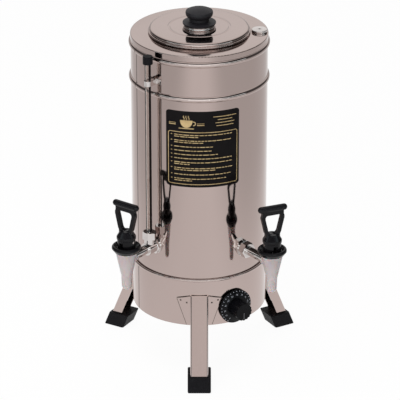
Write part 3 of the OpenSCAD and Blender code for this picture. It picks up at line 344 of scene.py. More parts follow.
def softened_copy(node, voxel):
    mesh = nodes[node].data.copy()
    shape = bmesh.new()
    shape.from_mesh(mesh)
    bmesh.ops.remove_doubles(shape, verts=shape.verts, dist=SOLID_MERGE_GAP)
    shape.to_mesh(mesh)
    shape.free()
    piece = link_object(bpy.data.objects.new("moulded_" + node, mesh))
    remesh = piece.modifiers.new("voxels", "REMESH")
    remesh.mode = "VOXEL"
    remesh.voxel_size = voxel
    smooth = piece.modifiers.new("soften", "SMOOTH")
    smooth.factor = SOFTEN_FACTOR
    smooth.iterations = SOFTEN_PASSES
    graph = bpy.context.evaluated_depsgraph_get()
    result = bpy.data.meshes.new_from_object(piece.evaluated_get(graph))
    piece.modifiers.clear()
    piece.data = result
    result.shade_smooth()
    return piece


MOULDED = {
    "left_tap_handle": ("left_handle", "black_plastic", HANDLE_VOXEL),
    "right_tap_handle": ("right_handle", "black_plastic", HANDLE_VOXEL),
    "foot_front": ("urn", "black_rubber", BOOT_VOXEL),
    "foot_left": ("urn", "black_rubber", BOOT_VOXEL),
    "foot_right": ("urn", "black_rubber", BOOT_VOXEL),
}
for node, (body, slot, voxel) in MOULDED.items():
    piece = softened_copy(node, voxel)
    dress(piece, FINISH_OF_SLOT[slot])
    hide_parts(node)
    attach(piece, body)
    print(piece.name, len(piece.data.polygons), "faces")

# %% [markdown]
# ## The wall as a surface to work on
# The seam, the welds and the print all lie on the round wall. A point there has an azimuth, measured from
# the front towards the right, and a height. The wall's radius follows two pressed beads, each an arc.

# %% Measure the wall
WALL_GAP = 0.00005
BEAD_RISE = 0.0026
BEAD_HEIGHT = 0.008
BEAD_ARC = (BEAD_RISE ** 2 + BEAD_HEIGHT ** 2 / 4) / (2 * BEAD_RISE)
RIM_BEAD_DROP = 0.012
BODY_BEAD_DROP = 0.060


def radius_of(node):
    return max(math.hypot(vertex.co.x, vertex.co.y) for vertex in nodes[node].data.vertices)


def on_wall(radius, azimuth, height):
    return Vector((radius * math.sin(azimuth), -radius * math.cos(azimuth), height))


top_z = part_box("top_cover")[1].z
wall_r = radius_of("body_shell") - BEAD_RISE
label_r = radius_of("label_plate")
bead_heights = (top_z - RIM_BEAD_DROP, top_z - BODY_BEAD_DROP)


def wall_radius(height):
    for bead in bead_heights:
        offset = abs(height - bead)
        if offset < BEAD_HEIGHT / 2:
            return wall_r + BEAD_RISE - BEAD_ARC + math.sqrt(BEAD_ARC ** 2 - offset ** 2)
    return wall_r


print("wall radius", round(1000 * wall_r, 2), "mm, top at", round(1000 * top_z, 1), "mm")

# %% [markdown]
# ## Welded seam
# The drum and the base are each rolled from one sheet, and the joint shows as a thin dark line up the left
# side. A line in the steel's material could show it, but it is made as a narrow ribbon that follows the wall
# and its beads, a little proud of the steel, as a weld is.

# %% Make the seam
SEAM_AZIMUTH = math.radians(-64.6)
SEAM_WIDTH = 0.0009
SEAM_RISE = 0.00018
SEAM_END_GAP = 0.0002
DRUM_STEPS = 220
BASE_STEPS = 40
SKIRT_BEAD_R = 0.002
SKIRT_BEAD_CLEAR = 0.0021
SHELL_RISE = 0.0064
PIECE_MERGE_GAP = 1e-7


def mesh_piece(name, vertices, faces, material):
    mesh = bpy.data.meshes.new(name)
    mesh.from_pydata(vertices, [], faces)
    shape = bmesh.new()
    shape.from_mesh(mesh)
    bmesh.ops.remove_doubles(shape, verts=shape.verts, dist=PIECE_MERGE_GAP)
    bmesh.ops.recalc_face_normals(shape, faces=shape.faces)
    shape.to_mesh(mesh)
    shape.free()
    piece = link_object(bpy.data.objects.new(name, mesh))
    dress(piece, material)
    return piece


def seam_ribbon(name, low, high, steps):
    """A closed ribbon up the wall with four corners in each section."""
    half = SEAM_WIDTH / 2 / wall_r
    vertices = []
    for step in range(steps + 1):
        height = low + (high - low) * step / steps
        inner = wall_radius(height) - WALL_GAP
        outer = inner + WALL_GAP + SEAM_RISE
        for radius, side in ((inner, -1), (outer, -1), (outer, 1), (inner, 1)):
            vertices.append(on_wall(radius, SEAM_AZIMUTH + side * half, height))
    faces = [(0, 1, 2, 3), tuple(4 * steps + corner for corner in (3, 2, 1, 0))]
    for step in range(steps):
        for corner in range(4):
            following = (corner + 1) % 4
            base = 4 * step
            faces.append((base + corner, base + following, base + 4 + following, base + 4 + corner))
    return mesh_piece(name, vertices, faces, weld_and_shade_steel)


skirt_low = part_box("base_skirt")[0].z
skirt_bead_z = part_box("base_skirt")[1].z - SKIRT_BEAD_R
SEAMS = (
    ("drum_seam", skirt_bead_z + SHELL_RISE, bead_heights[0] + BEAD_HEIGHT / 2, DRUM_STEPS),
    ("base_seam", skirt_low + SEAM_END_GAP, skirt_bead_z - SKIRT_BEAD_CLEAR, BASE_STEPS),
)
for name, low, high, steps in SEAMS:
    seam = seam_ribbon(name, low, high, steps)
    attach(seam, "urn")
    print(name, round(1000 * (high - low), 1), "mm long")

# %% [markdown]
# ## A tree for spot welds
# Each leg has a wing on either side that is spot-welded to the base. The welds repeat, so a Geometry Nodes
# tree sets a small flat dome on each point and turns it outwards. The tree ends as real geometry with its
# material, because instances would be lost in an export.

# %% Build the spot weld tree
DOME_SIDES = 16
DOME_TOP_SHARE = 0.55


def new_tree(name, inputs):
    tree = bpy.data.node_groups.new(name, "GeometryNodeTree")
    tree.interface.new_socket("Geometry", in_out="INPUT", socket_type="NodeSocketGeometry")
    sockets = {}
    for label, value in inputs.items():
        kind = "NodeSocketFloat" if isinstance(value, float) else "NodeSocketMaterial"
        sockets[label] = tree.interface.new_socket(label, in_out="INPUT", socket_type=kind)
    tree.interface.new_socket("Geometry", in_out="OUTPUT", socket_type="NodeSocketGeometry")
    return tree, sockets, add_node(tree, "NodeGroupInput"), add_node(tree, "NodeGroupOutput")


def finish_tree(tree, entry, result, setter):
    real = add_node(tree, "GeometryNodeRealizeInstances")
    painted = add_node(tree, "GeometryNodeSetMaterial")
    wire(tree,
         (setter, "Instances", real, "Geometry"),
         (real, "Geometry", painted, "Geometry"),
         (entry, "Material", painted, "Material"),
         (painted, "Geometry", result, "Geometry"))


def run_tree(name, points, tree, sockets, inputs):
    """Runs a tree over loose points and keeps its result as a plain mesh."""
    mesh = bpy.data.meshes.new(name)
    mesh.from_pydata(points, [], [])
    piece = link_object(bpy.data.objects.new(name, mesh))
    modifier = piece.modifiers.new("nodes", "NODES")
    modifier.node_group = tree
    for label, value in inputs.items():
        modifier[sockets[label].identifier] = value
    graph = bpy.context.evaluated_depsgraph_get()
    result = bpy.data.meshes.new_from_object(piece.evaluated_get(graph))
    piece.modifiers.clear()
    piece.data = result
    return piece


WELD_INPUTS = {"Radius": 0.0013, "Rise": 0.00035, "Material": weld_and_shade_steel}
weld_tree, weld_sockets, entry, result = new_tree("spot_welds", WELD_INPUTS)
place = add_node(weld_tree, "GeometryNodeInputPosition")
split = add_node(weld_tree, "ShaderNodeSeparateXYZ")
outward = add_node(weld_tree, "ShaderNodeCombineXYZ")
aim = add_node(weld_tree, "FunctionNodeAlignRotationToVector", axis="Z")
dome = add_node(weld_tree, "GeometryNodeMeshCone")
dome.inputs["Vertices"].default_value = DOME_SIDES
narrowed = add_node(weld_tree, "ShaderNodeMath", operation="MULTIPLY")
narrowed.inputs[1].default_value = DOME_TOP_SHARE
setter = add_node(weld_tree, "GeometryNodeInstanceOnPoints")
wire(weld_tree,
     (place, "Position", split, "Vector"),
     (split, "X", outward, "X"),
     (split, "Y", outward, "Y"),
     (outward, "Vector", aim, "Vector"),
     (entry, "Radius", dome, "Radius Bottom"),
     (entry, "Radius", narrowed, 0),
     (narrowed, "Value", dome, "Radius Top"),
     (entry, "Rise", dome, "Depth"),
     (entry, "Geometry", setter, "Points"),
     (dome, "Mesh", setter, "Instance"),
     (aim, "Rotation", setter, "Rotation"))
finish_tree(weld_tree, entry, result, setter)
print("tree:", weld_tree.name, "with", len(weld_tree.nodes), "nodes")

# %% [markdown]
# ## Spot welds on the legs
# Four welds hold each leg, two on each wing. They could be placed by hand, but their places repeat, so they
# are worked out on the round wall from two distances across and two drops.

# %% Set the spot welds
LEG_AZIMUTHS = {"leg_front": 0.0, "leg_left": -120.0, "leg_right": 120.0}
WING_THICK = 0.00125
WELD_ACROSS = (0.0165, 0.0245)
WELD_DROP = (0.0105, 0.0075)
leg_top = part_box("leg_front")[1].z
weld_points = []
for leg_azimuth in LEG_AZIMUTHS.values():
    for across, drop in zip(WELD_ACROSS, WELD_DROP):
        for side in (-1, 1):
            azimuth = math.radians(leg_azimuth) + side * math.asin(across / wall_r)
            weld_points.append(on_wall(wall_r + WING_THICK, azimuth, leg_top - drop))
welds = run_tree("spot_welds", weld_points, weld_tree, weld_sockets, WELD_INPUTS)
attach(welds, "urn")
print("spot welds:", len(weld_points))

# %% [markdown]
# ## Thin patches
# Edges, lines and print are all thin marks on a curved sheet. Each mark is a closed patch a few hundredths
# of a millimetre thick, drawn flat across and up, and a function says where a flat point lies on the object.
# So it is real geometry, and it stays in its place from every side.

# %% Define the patches
PATCH_STEP = 0.003
SINK_SHARE = 0.25


class Patches:
    """Collects flat patches; the place function takes across, up and lift."""

    def __init__(self, place, thick):
        self.place = place
        self.thick = thick
        self.vertices = []
        self.faces = []

    def strip(self, lower, upper):
        """A closed patch between two rows of points."""
        first = len(self.vertices)
        for pair in zip(lower, upper):
            for across, up in pair:
                self.vertices.append(self.place(across, up, -self.thick * SINK_SHARE))
                self.vertices.append(self.place(across, up, self.thick))
        count = len(lower)
        for step in range(count - 1):
            here = first + 4 * step
            for one, two in ((1, 3), (3, 2), (2, 0), (0, 1)):
                self.faces.append((here + one, here + two, here + 4 + two, here + 4 + one))
        last = first + 4 * (count - 1)
        self.faces.append((first, first + 2, first + 3, first + 1))
        self.faces.append((last + 1, last + 3, last + 2, last))

    def bar(self, left, right, low, high):
        steps = max(1, math.ceil((right - left) / PATCH_STEP))
        spots = [left + (right - left) * step / steps for step in range(steps + 1)]
        self.strip([(spot, low) for spot in spots], [(spot, high) for spot in spots])

    def band(self, points, width):
        """A line of a given width along a path."""
        lower = []
        upper = []
        for index, point in enumerate(points):
            before = Vector(points[max(index - 1, 0)])
            after = Vector(points[min(index + 1, len(points) - 1)])
            along = (after - before).normalized()
            side = Vector((-along.y, along.x)) * width / 2
            lower.append(Vector(point) - side)
            upper.append(Vector(point) + side)
        self.strip(lower, upper)

    def piece(self, name, material):
        return mesh_piece(name, self.vertices, self.faces, material)


def along_line(start, end, steps):
    return [tuple(Vector(start).lerp(Vector(end), step / steps)) for step in range(steps + 1)]


print("patches bend every", 1000 * PATCH_STEP, "mm")

# %% [markdown]
# ## Welded edges of the legs and their painted shade
# The wings of each leg are welded to the base along their outline. A thin dark line along it paints the shade
# at the wing's edge. The outline is drawn once in the leg's own plane and laid on the wall for each leg.

# %% Draw the wing edges and their painted shade
WING_TIP = 0.0300
WING_FOOT = 0.0170
WING_FALL = 0.0050
LEG_HALF = 0.0122
SHADE_LINE_WIDTH = 0.0006
SHADE_LINE_THICK = 0.00010
EDGE_TOP_DROP = 0.0008
EDGE_FOOT_RISE = 0.0012
TOP_STEPS = 8
SLANT_STEPS = 10
leg_foot = skirt_low + EDGE_FOOT_RISE


def leg_surface(azimuth):
    def place(across, up, lift):
        radius = wall_r + WING_THICK + lift
        return on_wall(radius, math.radians(azimuth) + math.asin(across / radius), up)
    return place


for name, leg_azimuth in LEG_AZIMUTHS.items():
    # Each outline is a dark line on the weld that paints the shade at the wing's edge.
    edges = Patches(leg_surface(leg_azimuth), SHADE_LINE_THICK)
    for side in (-1, 1):
        inner_end = (side * LEG_HALF, leg_top - EDGE_TOP_DROP)
        tip = (side * WING_TIP, leg_top - WING_FALL)
        low_end = (side * WING_FOOT, leg_foot)
        edges.band(along_line(inner_end, tip, TOP_STEPS), SHADE_LINE_WIDTH)
        edges.band(along_line(tip, low_end, SLANT_STEPS), SHADE_LINE_WIDTH)
    welded = edges.piece("wing_edge_shade_" + name, weld_and_shade_steel)
    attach(welded, "urn")
print("wing edges on", len(LEG_AZIMUTHS), "legs")

# %% [markdown]
# ## Painted shade on the sight glass
# The glass tube's edges show dark, and that shade is painted: a broad dark line on its right and a fine one
# on its left, each a thin patch on the tube. Across is an angle in degrees here, as the patch goes round the
# glass.

# %% Draw the painted shade on the gauge
GAUGE_SHADE_SPANS = ((14.0, 78.0), (-84.0, -54.0))
GAUGE_SHADE_STEPS = 12
GAUGE_SHADE_THICK = 0.00003
LINE_END_GAP = 0.0003
glass_low, glass_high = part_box("gauge_glass")
glass_axis = (glass_low + glass_high) / 2
glass_r = (glass_high.x - glass_low.x) / 2
line_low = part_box("gauge_nut")[1].z + LINE_END_GAP
line_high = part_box("gauge_cap")[0].z - LINE_END_GAP


def glass_surface(across, up, lift):
    spot = on_wall(glass_r + lift, math.radians(across), up)
    return Vector((spot.x + glass_axis.x, spot.y + glass_axis.y, up))


gauge_shade_lines = Patches(glass_surface, GAUGE_SHADE_THICK)
# Each span is a dark patch that paints the shade on the glass tube's edge.
for start, end in GAUGE_SHADE_SPANS:
    turns = [start + (end - start) * step / GAUGE_SHADE_STEPS for step in range(GAUGE_SHADE_STEPS + 1)]
    gauge_shade_lines.strip([(turn, line_low) for turn in turns], [(turn, line_high) for turn in turns])
gauge_shade_marks = gauge_shade_lines.piece("gauge_shade_lines", gauge_shade_ink)
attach(gauge_shade_marks, "urn")
print("glass radius", round(1000 * glass_r, 2), "mm, lines to", round(1000 * line_high, 1), "mm")

# %% [markdown]
# ## Label
# The black label is curved on the wall and carries gold print. Its flat size is measured along the curve, so
# the print can be drawn flat from the label's lower middle and bent onto it.

# %% Measure the label
LABEL_AZIMUTH = math.radians(3.2)
label_low, label_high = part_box("label_plate")
label_height = label_high.z - label_low.z
label_half = label_r * math.asin((label_high.x - label_low.x) / 2 / label_r)


def label_surface(across, up, lift):
    return on_wall(label_r + lift, LABEL_AZIMUTH + across / label_r, label_low.z + up)


def arc(centre, radius, start, end, steps=10):
    turns = [math.radians(start + (end - start) * step / steps) for step in range(steps + 1)]
    return [(centre[0] + radius * math.cos(turn), centre[1] + radius * math.sin(turn)) for turn in turns]


print("label:", round(2000 * label_half, 1), "x", round(1000 * label_height, 1), "mm")

# %% [markdown]
# ## Frame on the label
# A gold line with round corners frames the rows. Half of it is drawn as one path and the other half is its
# mirror image. A picture could hold the print, but patches stay sharp at any distance.

# %% Print the frame
INK_THICK = 0.00006
FRAME_INSET = 0.0032
FRAME_TOP = 0.0775
FRAME_LOW = 0.0040
FRAME_CORNER = 0.0030
FRAME_LINE = 0.0008
FRAME_STEPS = 12
ink = Patches(label_surface, INK_THICK)


def frame_path(half, low, high, corner):
    """The right half of a frame, from the middle of its lower line to the middle of its upper line."""
    spots = [half * step / FRAME_STEPS for step in range(1, FRAME_STEPS)]
    spots = [spot for spot in spots if spot < half - corner]
    path = [(0.0, low)]
    path += [(spot, low) for spot in spots]
    path += arc((half - corner, low + corner), corner, -90, 0)
    path += arc((half - corner, high - corner), corner, 0, 90)
    path += [(spot, high) for spot in reversed(spots)]
    path += [(0.0, high)]
    return path


right_half = frame_path(label_half - FRAME_INSET, FRAME_LOW, FRAME_TOP, FRAME_CORNER)
ink.band(right_half, FRAME_LINE)
ink.band([(-across, up) for across, up in reversed(right_half)], FRAME_LINE)
print("frame:", len(right_half), "points in each half")

# %% [markdown]
# ## Rows on the label
# Each item in the frame has a bullet and one or two rows of dashes. The dashes have random lengths from a
# fixed seed, so they read as rows of print from a step away and come out the same every time.

# %% Print the rows of dashes
PRINT_SEED = 11
ROW_TOP = 0.0731
ROW_HEIGHT = 0.0010
LINE_DROP = 0.0027
ITEM_DROPS = (0.0080, 0.0086, 0.0055, 0.0055, 0.0055, 0.0055, 0.0082, 0.0090, 0.0060, 0.0)
FIRST_LINES = (1.0, 0.95, 0.64, 0.62, 0.76, 0.97, 1.0, 0.98, 0.95, 0.88)
SECOND_LINES = (0.40, 0.48, 0.0, 0.0, 0.0, 0.0, 0.26, 0.68, 0.0, 0.30)
BULLET = 0.0016
BULLET_OUT = 0.0046
LEFT_MARGIN = 0.0115
RIGHT_MARGIN = 0.0085
SHORT_DASH = 0.0022
LONG_DASH = 0.0080
DASH_GAP = 0.0011
LEAST_REST = 0.002
draw = random.Random(PRINT_SEED)
text_left = -label_half + LEFT_MARGIN
text_right = label_half - RIGHT_MARGIN


def dashes(up, share):
    """A row of dashes from the left margin, as long as a share of the full width."""
    spot = text_left
    row_end = text_left + share * (text_right - text_left)
    while spot < row_end - LEAST_REST:
        dash = min(draw.uniform(SHORT_DASH, LONG_DASH), row_end - spot)
        ink.bar(spot, spot + dash, up, up + ROW_HEIGHT)
        spot += dash + DASH_GAP


up = ROW_TOP
for first, second, drop in zip(FIRST_LINES, SECOND_LINES, ITEM_DROPS):
    ink.bar(text_left - BULLET_OUT, text_left - BULLET_OUT + BULLET, up, up + ROW_HEIGHT)
    dashes(up, first)
    dashes(up - LINE_DROP, second)
    up -= drop
print("items:", len(FIRST_LINES), "faces so far:", len(ink.faces))

# %% [markdown]
# ## Cup and rules
# Above the frame stand a simple cup with its saucer and steam, a pair of rules on either side of it, and
# four short rules on the right. All are the same thin patches, drawn from arcs, waves and straight bars.

# %% Print the cup
CUP_AT = (-0.0220, 0.0838)
CUP_WIDTH = 0.0165
CUP_HEIGHT = 0.0100
CUP_RIM = 0.0005
CUP_EAR_AT = (0.0012, 0.0062)
CUP_EAR_R = 0.0026
CUP_EAR_LINE = 0.0010
SAUCER_HALF = 0.0100
SAUCER_SPAN = (0.0016, 0.0004)
STEAM_SHIFTS = (-0.0032, 0.0, 0.0032)
STEAM_START = 0.0112
STEAM_RISE = 0.00062
STEAM_SWAY = 0.0007
STEAM_TURN = 0.7
STEAM_POINTS = 10
STEAM_LINE = 0.0008
cup_x, cup_y = CUP_AT
half_cup = CUP_WIDTH / 2
rim_y = cup_y + CUP_HEIGHT
bowl = []
for degrees in range(180, 361, 15):
    angle = math.radians(degrees)
    bowl.append((cup_x + half_cup * math.cos(angle), rim_y + CUP_HEIGHT * math.sin(angle)))
ink.strip(bowl, [(across, rim_y + CUP_RIM) for across, height in bowl])
ear_at = (cup_x + half_cup + CUP_EAR_AT[0], cup_y + CUP_EAR_AT[1])
ink.band(arc(ear_at, CUP_EAR_R, -100, 110, 12), CUP_EAR_LINE)
ink.bar(cup_x - SAUCER_HALF, cup_x + SAUCER_HALF, cup_y - SAUCER_SPAN[0], cup_y - SAUCER_SPAN[1])
for shift in STEAM_SHIFTS:
    steam = []
    for step in range(STEAM_POINTS):
        sway = STEAM_SWAY * math.sin(step * STEAM_TURN)
        steam.append((cup_x + shift + sway, cup_y + STEAM_START + STEAM_RISE * step))
    ink.band(steam, STEAM_LINE)
print("cup:", 1000 * CUP_WIDTH, "mm wide with", len(STEAM_SHIFTS), "lines of steam")

# %% Print the rules
SIDE_NEAR = 0.0140
SIDE_FAR = 0.0235
SIDE_RULES = ((0.0035, 0.0045), (0.0060, 0.0065))
RIGHT_RULES = (0.032, 0.020, 0.026, 0.024)
RIGHT_INSET = 0.0205
RIGHT_TOP = 0.0985
RIGHT_DROP = 0.0042
RIGHT_LINE = 0.0008
for side in (-1, 1):
    near = cup_x + side * SIDE_NEAR
    far = cup_x + side * SIDE_FAR
    for low, high in SIDE_RULES:
        ink.bar(min(near, far), max(near, far), cup_y + low, cup_y + high)
middle = label_half - RIGHT_INSET
for row, length in enumerate(RIGHT_RULES):
    up = RIGHT_TOP - RIGHT_DROP * row
    ink.bar(middle - length / 2, middle + length / 2, up, up + RIGHT_LINE)
label_print = ink.piece("label_print", gold_print)
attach(label_print, "urn")
print("label print:", len(label_print.data.polygons), "faces")

# %% [markdown]
# ## Dial
# The thermostat's dial has a sloping rim with pale numbers and ticks, and a grey line on its grip. The print
# turns with the dial, so it rides on the dial's body. A local frame on the spindle has X to the right, Y up
# and Z out of the wall, and the rim's slope gives the height at each radius.

# %% Measure the dial
RIM_EDGE = 0.002
RIM_SLOPE = 0.003
RIM_INNER = 0.015
UP = Vector((0.0, 0.0, 1.0))
dial_axis = Vector(joints["dial_turn"]["axis"]).normalized()
dial_frame = Matrix((UP.cross(dial_axis), UP, dial_axis)).transposed().to_4x4()
dial_frame.translation = Vector(joints["dial_turn"]["pos_m"])
to_dial = dial_frame.inverted()
dial_points = [to_dial @ vertex.co for vertex in nodes["thermostat_dial"].data.vertices]
dial_back = min(point.z for point in dial_points)
dial_front = max(point.z for point in dial_points)
dial_r = max(math.hypot(point.x, point.y) for point in dial_points)


def rim_height(radius):
    share = (dial_r - radius) / (dial_r - RIM_INNER)
    return dial_back + RIM_EDGE + RIM_SLOPE * share


print("dial radius", round(1000 * dial_r, 1), "mm, depth", round(1000 * (dial_front - dial_back), 1), "mm")

# %% [markdown]
# ## Numbers on the dial
# The numbers stand round the sloping rim with their feet towards the grip. Blender's text gives each one as
# a mesh, which is leaned onto the slope and turned to its place. They are joined into one piece, because
# they are one print.

# %% Set the numbers
NUMBERS = ("0", "10", "20", "30", "40", "50", "60", "70", "80", "90", "100", "110")
NUMBER_R = 0.0178
NUMBER_SIZE = 0.0032
FIRST_TURN = 235.0
LAST_TURN = -35.0
PRINT_RISE = 0.00008
slope = math.atan2(RIM_SLOPE, dial_r - RIM_INNER)


def dial_turn(index, count):
    return FIRST_TURN + (LAST_TURN - FIRST_TURN) * index / (count - 1)


def rim_frame(turn_degrees, radius):
    """Stands on the sloping rim at an angle, with Y pointing away from the spindle."""
    spin = Matrix.Rotation(math.radians(turn_degrees) - math.pi / 2, 4, "Z")
    lean = Matrix.Rotation(-slope, 4, "X")
    return spin @ Matrix.Translation((0.0, radius, rim_height(radius))) @ lean


def text_mesh(words, size):
    curve = bpy.data.curves.new("number", "FONT")
    curve.body = words
    curve.size = size
    curve.align_x = "CENTER"
    curve.align_y = "CENTER"
    curve.extrude = PRINT_RISE
    letter = link_object(bpy.data.objects.new("number", curve))
    graph = bpy.context.evaluated_depsgraph_get()
    mesh = bpy.data.meshes.new_from_object(letter.evaluated_get(graph))
    bpy.data.objects.remove(letter)
    return mesh


numbers = bmesh.new()
for index, words in enumerate(NUMBERS):
    mesh = text_mesh(words, NUMBER_SIZE)
    mesh.transform(dial_frame @ rim_frame(dial_turn(index, len(NUMBERS)), NUMBER_R))
    numbers.from_mesh(mesh)
number_mesh = bpy.data.meshes.new("dial_numbers")
numbers.to_mesh(number_mesh)
numbers.free()
dial_numbers = link_object(bpy.data.objects.new("dial_numbers", number_mesh))
dress(dial_numbers, white_print)
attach(dial_numbers, "dial")
print("numbers:", len(NUMBERS), "on the rim")

# %% [markdown]
# ## Ticks on the dial
# A short tick stands outside each number, and one halfway to the next. They repeat, so a Geometry Nodes tree
# sets a flat bar on each point and turns it towards the spindle.

# %% Build the tick tree and set the ticks
TICK_COUNT = 23
TICK_R = 0.0217
TICK_INPUTS = {"Length": 0.0024, "Width": 0.0010, "Rise": 2 * PRINT_RISE, "Material": white_print}
tick_tree, tick_sockets, entry, result = new_tree("dial_ticks", TICK_INPUTS)
tick_size = add_node(tick_tree, "ShaderNodeCombineXYZ")
tick = add_node(tick_tree, "GeometryNodeMeshCube")
place = add_node(tick_tree, "GeometryNodeInputPosition")
aim = add_node(tick_tree, "FunctionNodeAlignRotationToVector", axis="X")
setter = add_node(tick_tree, "GeometryNodeInstanceOnPoints")
wire(tick_tree,
     (entry, "Length", tick_size, "X"),
     (entry, "Width", tick_size, "Y"),
     (entry, "Rise", tick_size, "Z"),
     (tick_size, "Vector", tick, "Size"),
     (place, "Position", aim, "Vector"),
     (entry, "Geometry", setter, "Points"),
     (tick, "Mesh", setter, "Instance"),
     (aim, "Rotation", setter, "Rotation"))
finish_tree(tick_tree, entry, result, setter)

tick_points = []
for index in range(TICK_COUNT):
    angle = math.radians(dial_turn(index, TICK_COUNT))
    tick_points.append((TICK_R * math.cos(angle), TICK_R * math.sin(angle), 0.0))
dial_ticks = run_tree("dial_ticks", tick_points, tick_tree, tick_sockets, TICK_INPUTS)
dial_ticks.data.transform(dial_frame @ Matrix.Translation((0.0, 0.0, rim_height(TICK_R))))
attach(dial_ticks, "dial")
print("ticks:", TICK_COUNT)

# %% [markdown]
# ## Pointer line
# The grip carries one grey line that shows the setting. It is a thin bar that lies half inside the grip's
# front face, so it can't float.

# %% Set the pointer line on the grip
POINTER_WIDTH = 0.0009
POINTER_LENGTH = 0.0085
POINTER_START = 0.0015
pointer_vertices = []
for z in (dial_front - PRINT_RISE, dial_front + PRINT_RISE):
    for x in (-POINTER_WIDTH / 2, POINTER_WIDTH / 2):
        for y in (-POINTER_START, -POINTER_START - POINTER_LENGTH):
            pointer_vertices.append(dial_frame @ Vector((x, y, z)))
pointer_faces = [(0, 1, 3, 2), (4, 6, 7, 5), (0, 4, 5, 1), (2, 3, 7, 6), (0, 2, 6, 4), (1, 5, 7, 3)]
pointer = mesh_piece("dial_pointer", pointer_vertices, pointer_faces, grey_print)
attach(pointer, "dial")
print("pointer:", round(1000 * POINTER_LENGTH, 1), "mm")

# %% [markdown]
# ## Valve springs
# A steel spring in each tap presses the plunger onto its seat. It is a wire wound in a helix, so a ring of
# points is carried along the turns. When the handle lifts the plunger, the real spring gets shorter while its
# top stays under the bonnet. Here the wound spring takes the place of the frame's spring and hangs on the urn
# at its full length.

# %% Wind the valve springs
WIRE_R = 0.0006
WIRE_SIDES = 10
SPRING_TURNS = 6
TURN_RINGS = 24


def wound_spring(name, node, axis_x, axis_y):
    low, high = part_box(node)
    points = [vertex.co for vertex in nodes[node].data.vertices]
    reach = max(math.hypot(point.x - axis_x, point.y - axis_y) for point in points)
    rings = SPRING_TURNS * TURN_RINGS
    vertices = []
    for ring in range(rings + 1):
        turn = math.tau * ring / TURN_RINGS
        height = low.z + WIRE_R + (high.z - low.z - 2 * WIRE_R) * ring / rings
        for side in range(WIRE_SIDES):
            around = math.tau * side / WIRE_SIDES
            radius = reach - WIRE_R + WIRE_R * math.cos(around)
            vertices.append((axis_x + radius * math.cos(turn), axis_y + radius * math.sin(turn),
                             height + WIRE_R * math.sin(around)))
    first = tuple(range(WIRE_SIDES))
    faces = [first, tuple(rings * WIRE_SIDES + side for side in reversed(first))]
    for ring in range(rings):
        for side in range(WIRE_SIDES):
            here = ring * WIRE_SIDES + side
            beside = ring * WIRE_SIDES + (side + 1) % WIRE_SIDES
            faces.append((here, beside, beside + WIRE_SIDES, here + WIRE_SIDES))
    piece = mesh_piece(name, vertices, faces, bright_fittings)
    piece.data.shade_smooth()
    return piece


for hand in ("left", "right"):
    node = hand + "_tap_spring"
    axis_x, axis_y = joints[hand + "_handle_tilt"]["pos_m"][:2]
    low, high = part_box(node)
    spring = wound_spring("wound_" + node, node, axis_x, axis_y)
    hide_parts(node)
    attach(spring, "urn")
    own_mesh(spring)

# %% [markdown]
# ## Studio
# A mirror shows its surroundings, so the studio is part of the finish. In front, the world is pale low down
# and right overhead, dim in between, and dimmer at both sides, mostly low down. That draws the dark lines
# along the beads and the folds. Behind the urn it is evenly bright, so the top shows no hard edge. The world
# could be an image, but a few nodes can be set one tone at a time.

# %% Shade the world
SKY_TONES = ((0.735, 0.92), (0.785, 0.07), (0.915, 0.07))
SKY_TINT = (1.0, 0.98, 0.97)
LOW_SKY_AT = 0.50
LOW_SKY_TONE = (0.97, 0.96, 0.95, 1.0)
TOP_SKY_AT = 0.955
REAR_SPAN = (0.0, 0.35)
REAR_TONE = (0.95, 0.94, 0.93, 1.0)
SIDE_SPAN = (0.45, 0.72)
SIDE_TONE = 0.12
FRONT_SPAN = (-0.60, -0.86)
HIGH_SPAN = (0.20, 0.34)
LOW_SIDE_TONE = 0.55


def soft_step(tree, span, low=0.0, high=1.0):
    """Goes softly from low to high while a value crosses the span."""
    step = add_node(tree, "ShaderNodeMapRange", interpolation_type="SMOOTHSTEP")
    step.inputs["From Min"].default_value = span[0]
    step.inputs["From Max"].default_value = span[1]
    step.inputs["To Min"].default_value = low
    step.inputs["To Max"].default_value = high
    return step


def sky_colour(tree, split):
    """The sky's tone by height, evened out behind the urn."""
    height = add_node(tree, "ShaderNodeMapRange")
    height.inputs["From Min"].default_value = -1.0
    ramp = add_node(tree, "ShaderNodeValToRGB")
    bands = ramp.color_ramp.elements
    bands[0].position = LOW_SKY_AT
    bands[0].color = LOW_SKY_TONE
    bands[1].position = TOP_SKY_AT
    bands[1].color = WHITE
    for position, tone in SKY_TONES:
        bands.new(position).color = (*(share * tone for share in SKY_TINT), 1.0)
    behind = soft_step(tree, REAR_SPAN)
    filled = add_node(tree, "ShaderNodeMix", data_type="RGBA")
    filled.inputs[MIX_SECOND].default_value = REAR_TONE
    wire(tree,
         (split, "Z", height, "Value"),
         (height, "Result", ramp, "Fac"),
         (split, "Y", behind, "Value"),
         (behind, "Result", filled, MIX_SHARE),
         (ramp, "Color", filled, MIX_FIRST))
    return filled


def side_shade(tree, split):
    """Dims both sides, and dims what is low unless it is straight in front."""
    sideways = add_node(tree, "ShaderNodeMath", operation="ABSOLUTE")
    shade = soft_step(tree, SIDE_SPAN, low=1.0, high=SIDE_TONE)
    front = soft_step(tree, FRONT_SPAN)
    high = soft_step(tree, HIGH_SPAN)
    opened = add_node(tree, "ShaderNodeMath", operation="MAXIMUM")
    lifted = add_node(tree, "ShaderNodeMapRange")
    lifted.inputs["To Min"].default_value = LOW_SIDE_TONE
    shaded = add_node(tree, "ShaderNodeMath", operation="MULTIPLY")
    wire(tree,
         (split, "X", sideways, 0),
         (sideways, "Value", shade, "Value"),
         (split, "Y", front, "Value"),
         (split, "Z", high, "Value"),
         (front, "Result", opened, 0),
         (high, "Result", opened, 1),
         (opened, "Value", lifted, "Value"),
         (shade, "Result", shaded, 0),
         (lifted, "Result", shaded, 1))
    return shaded


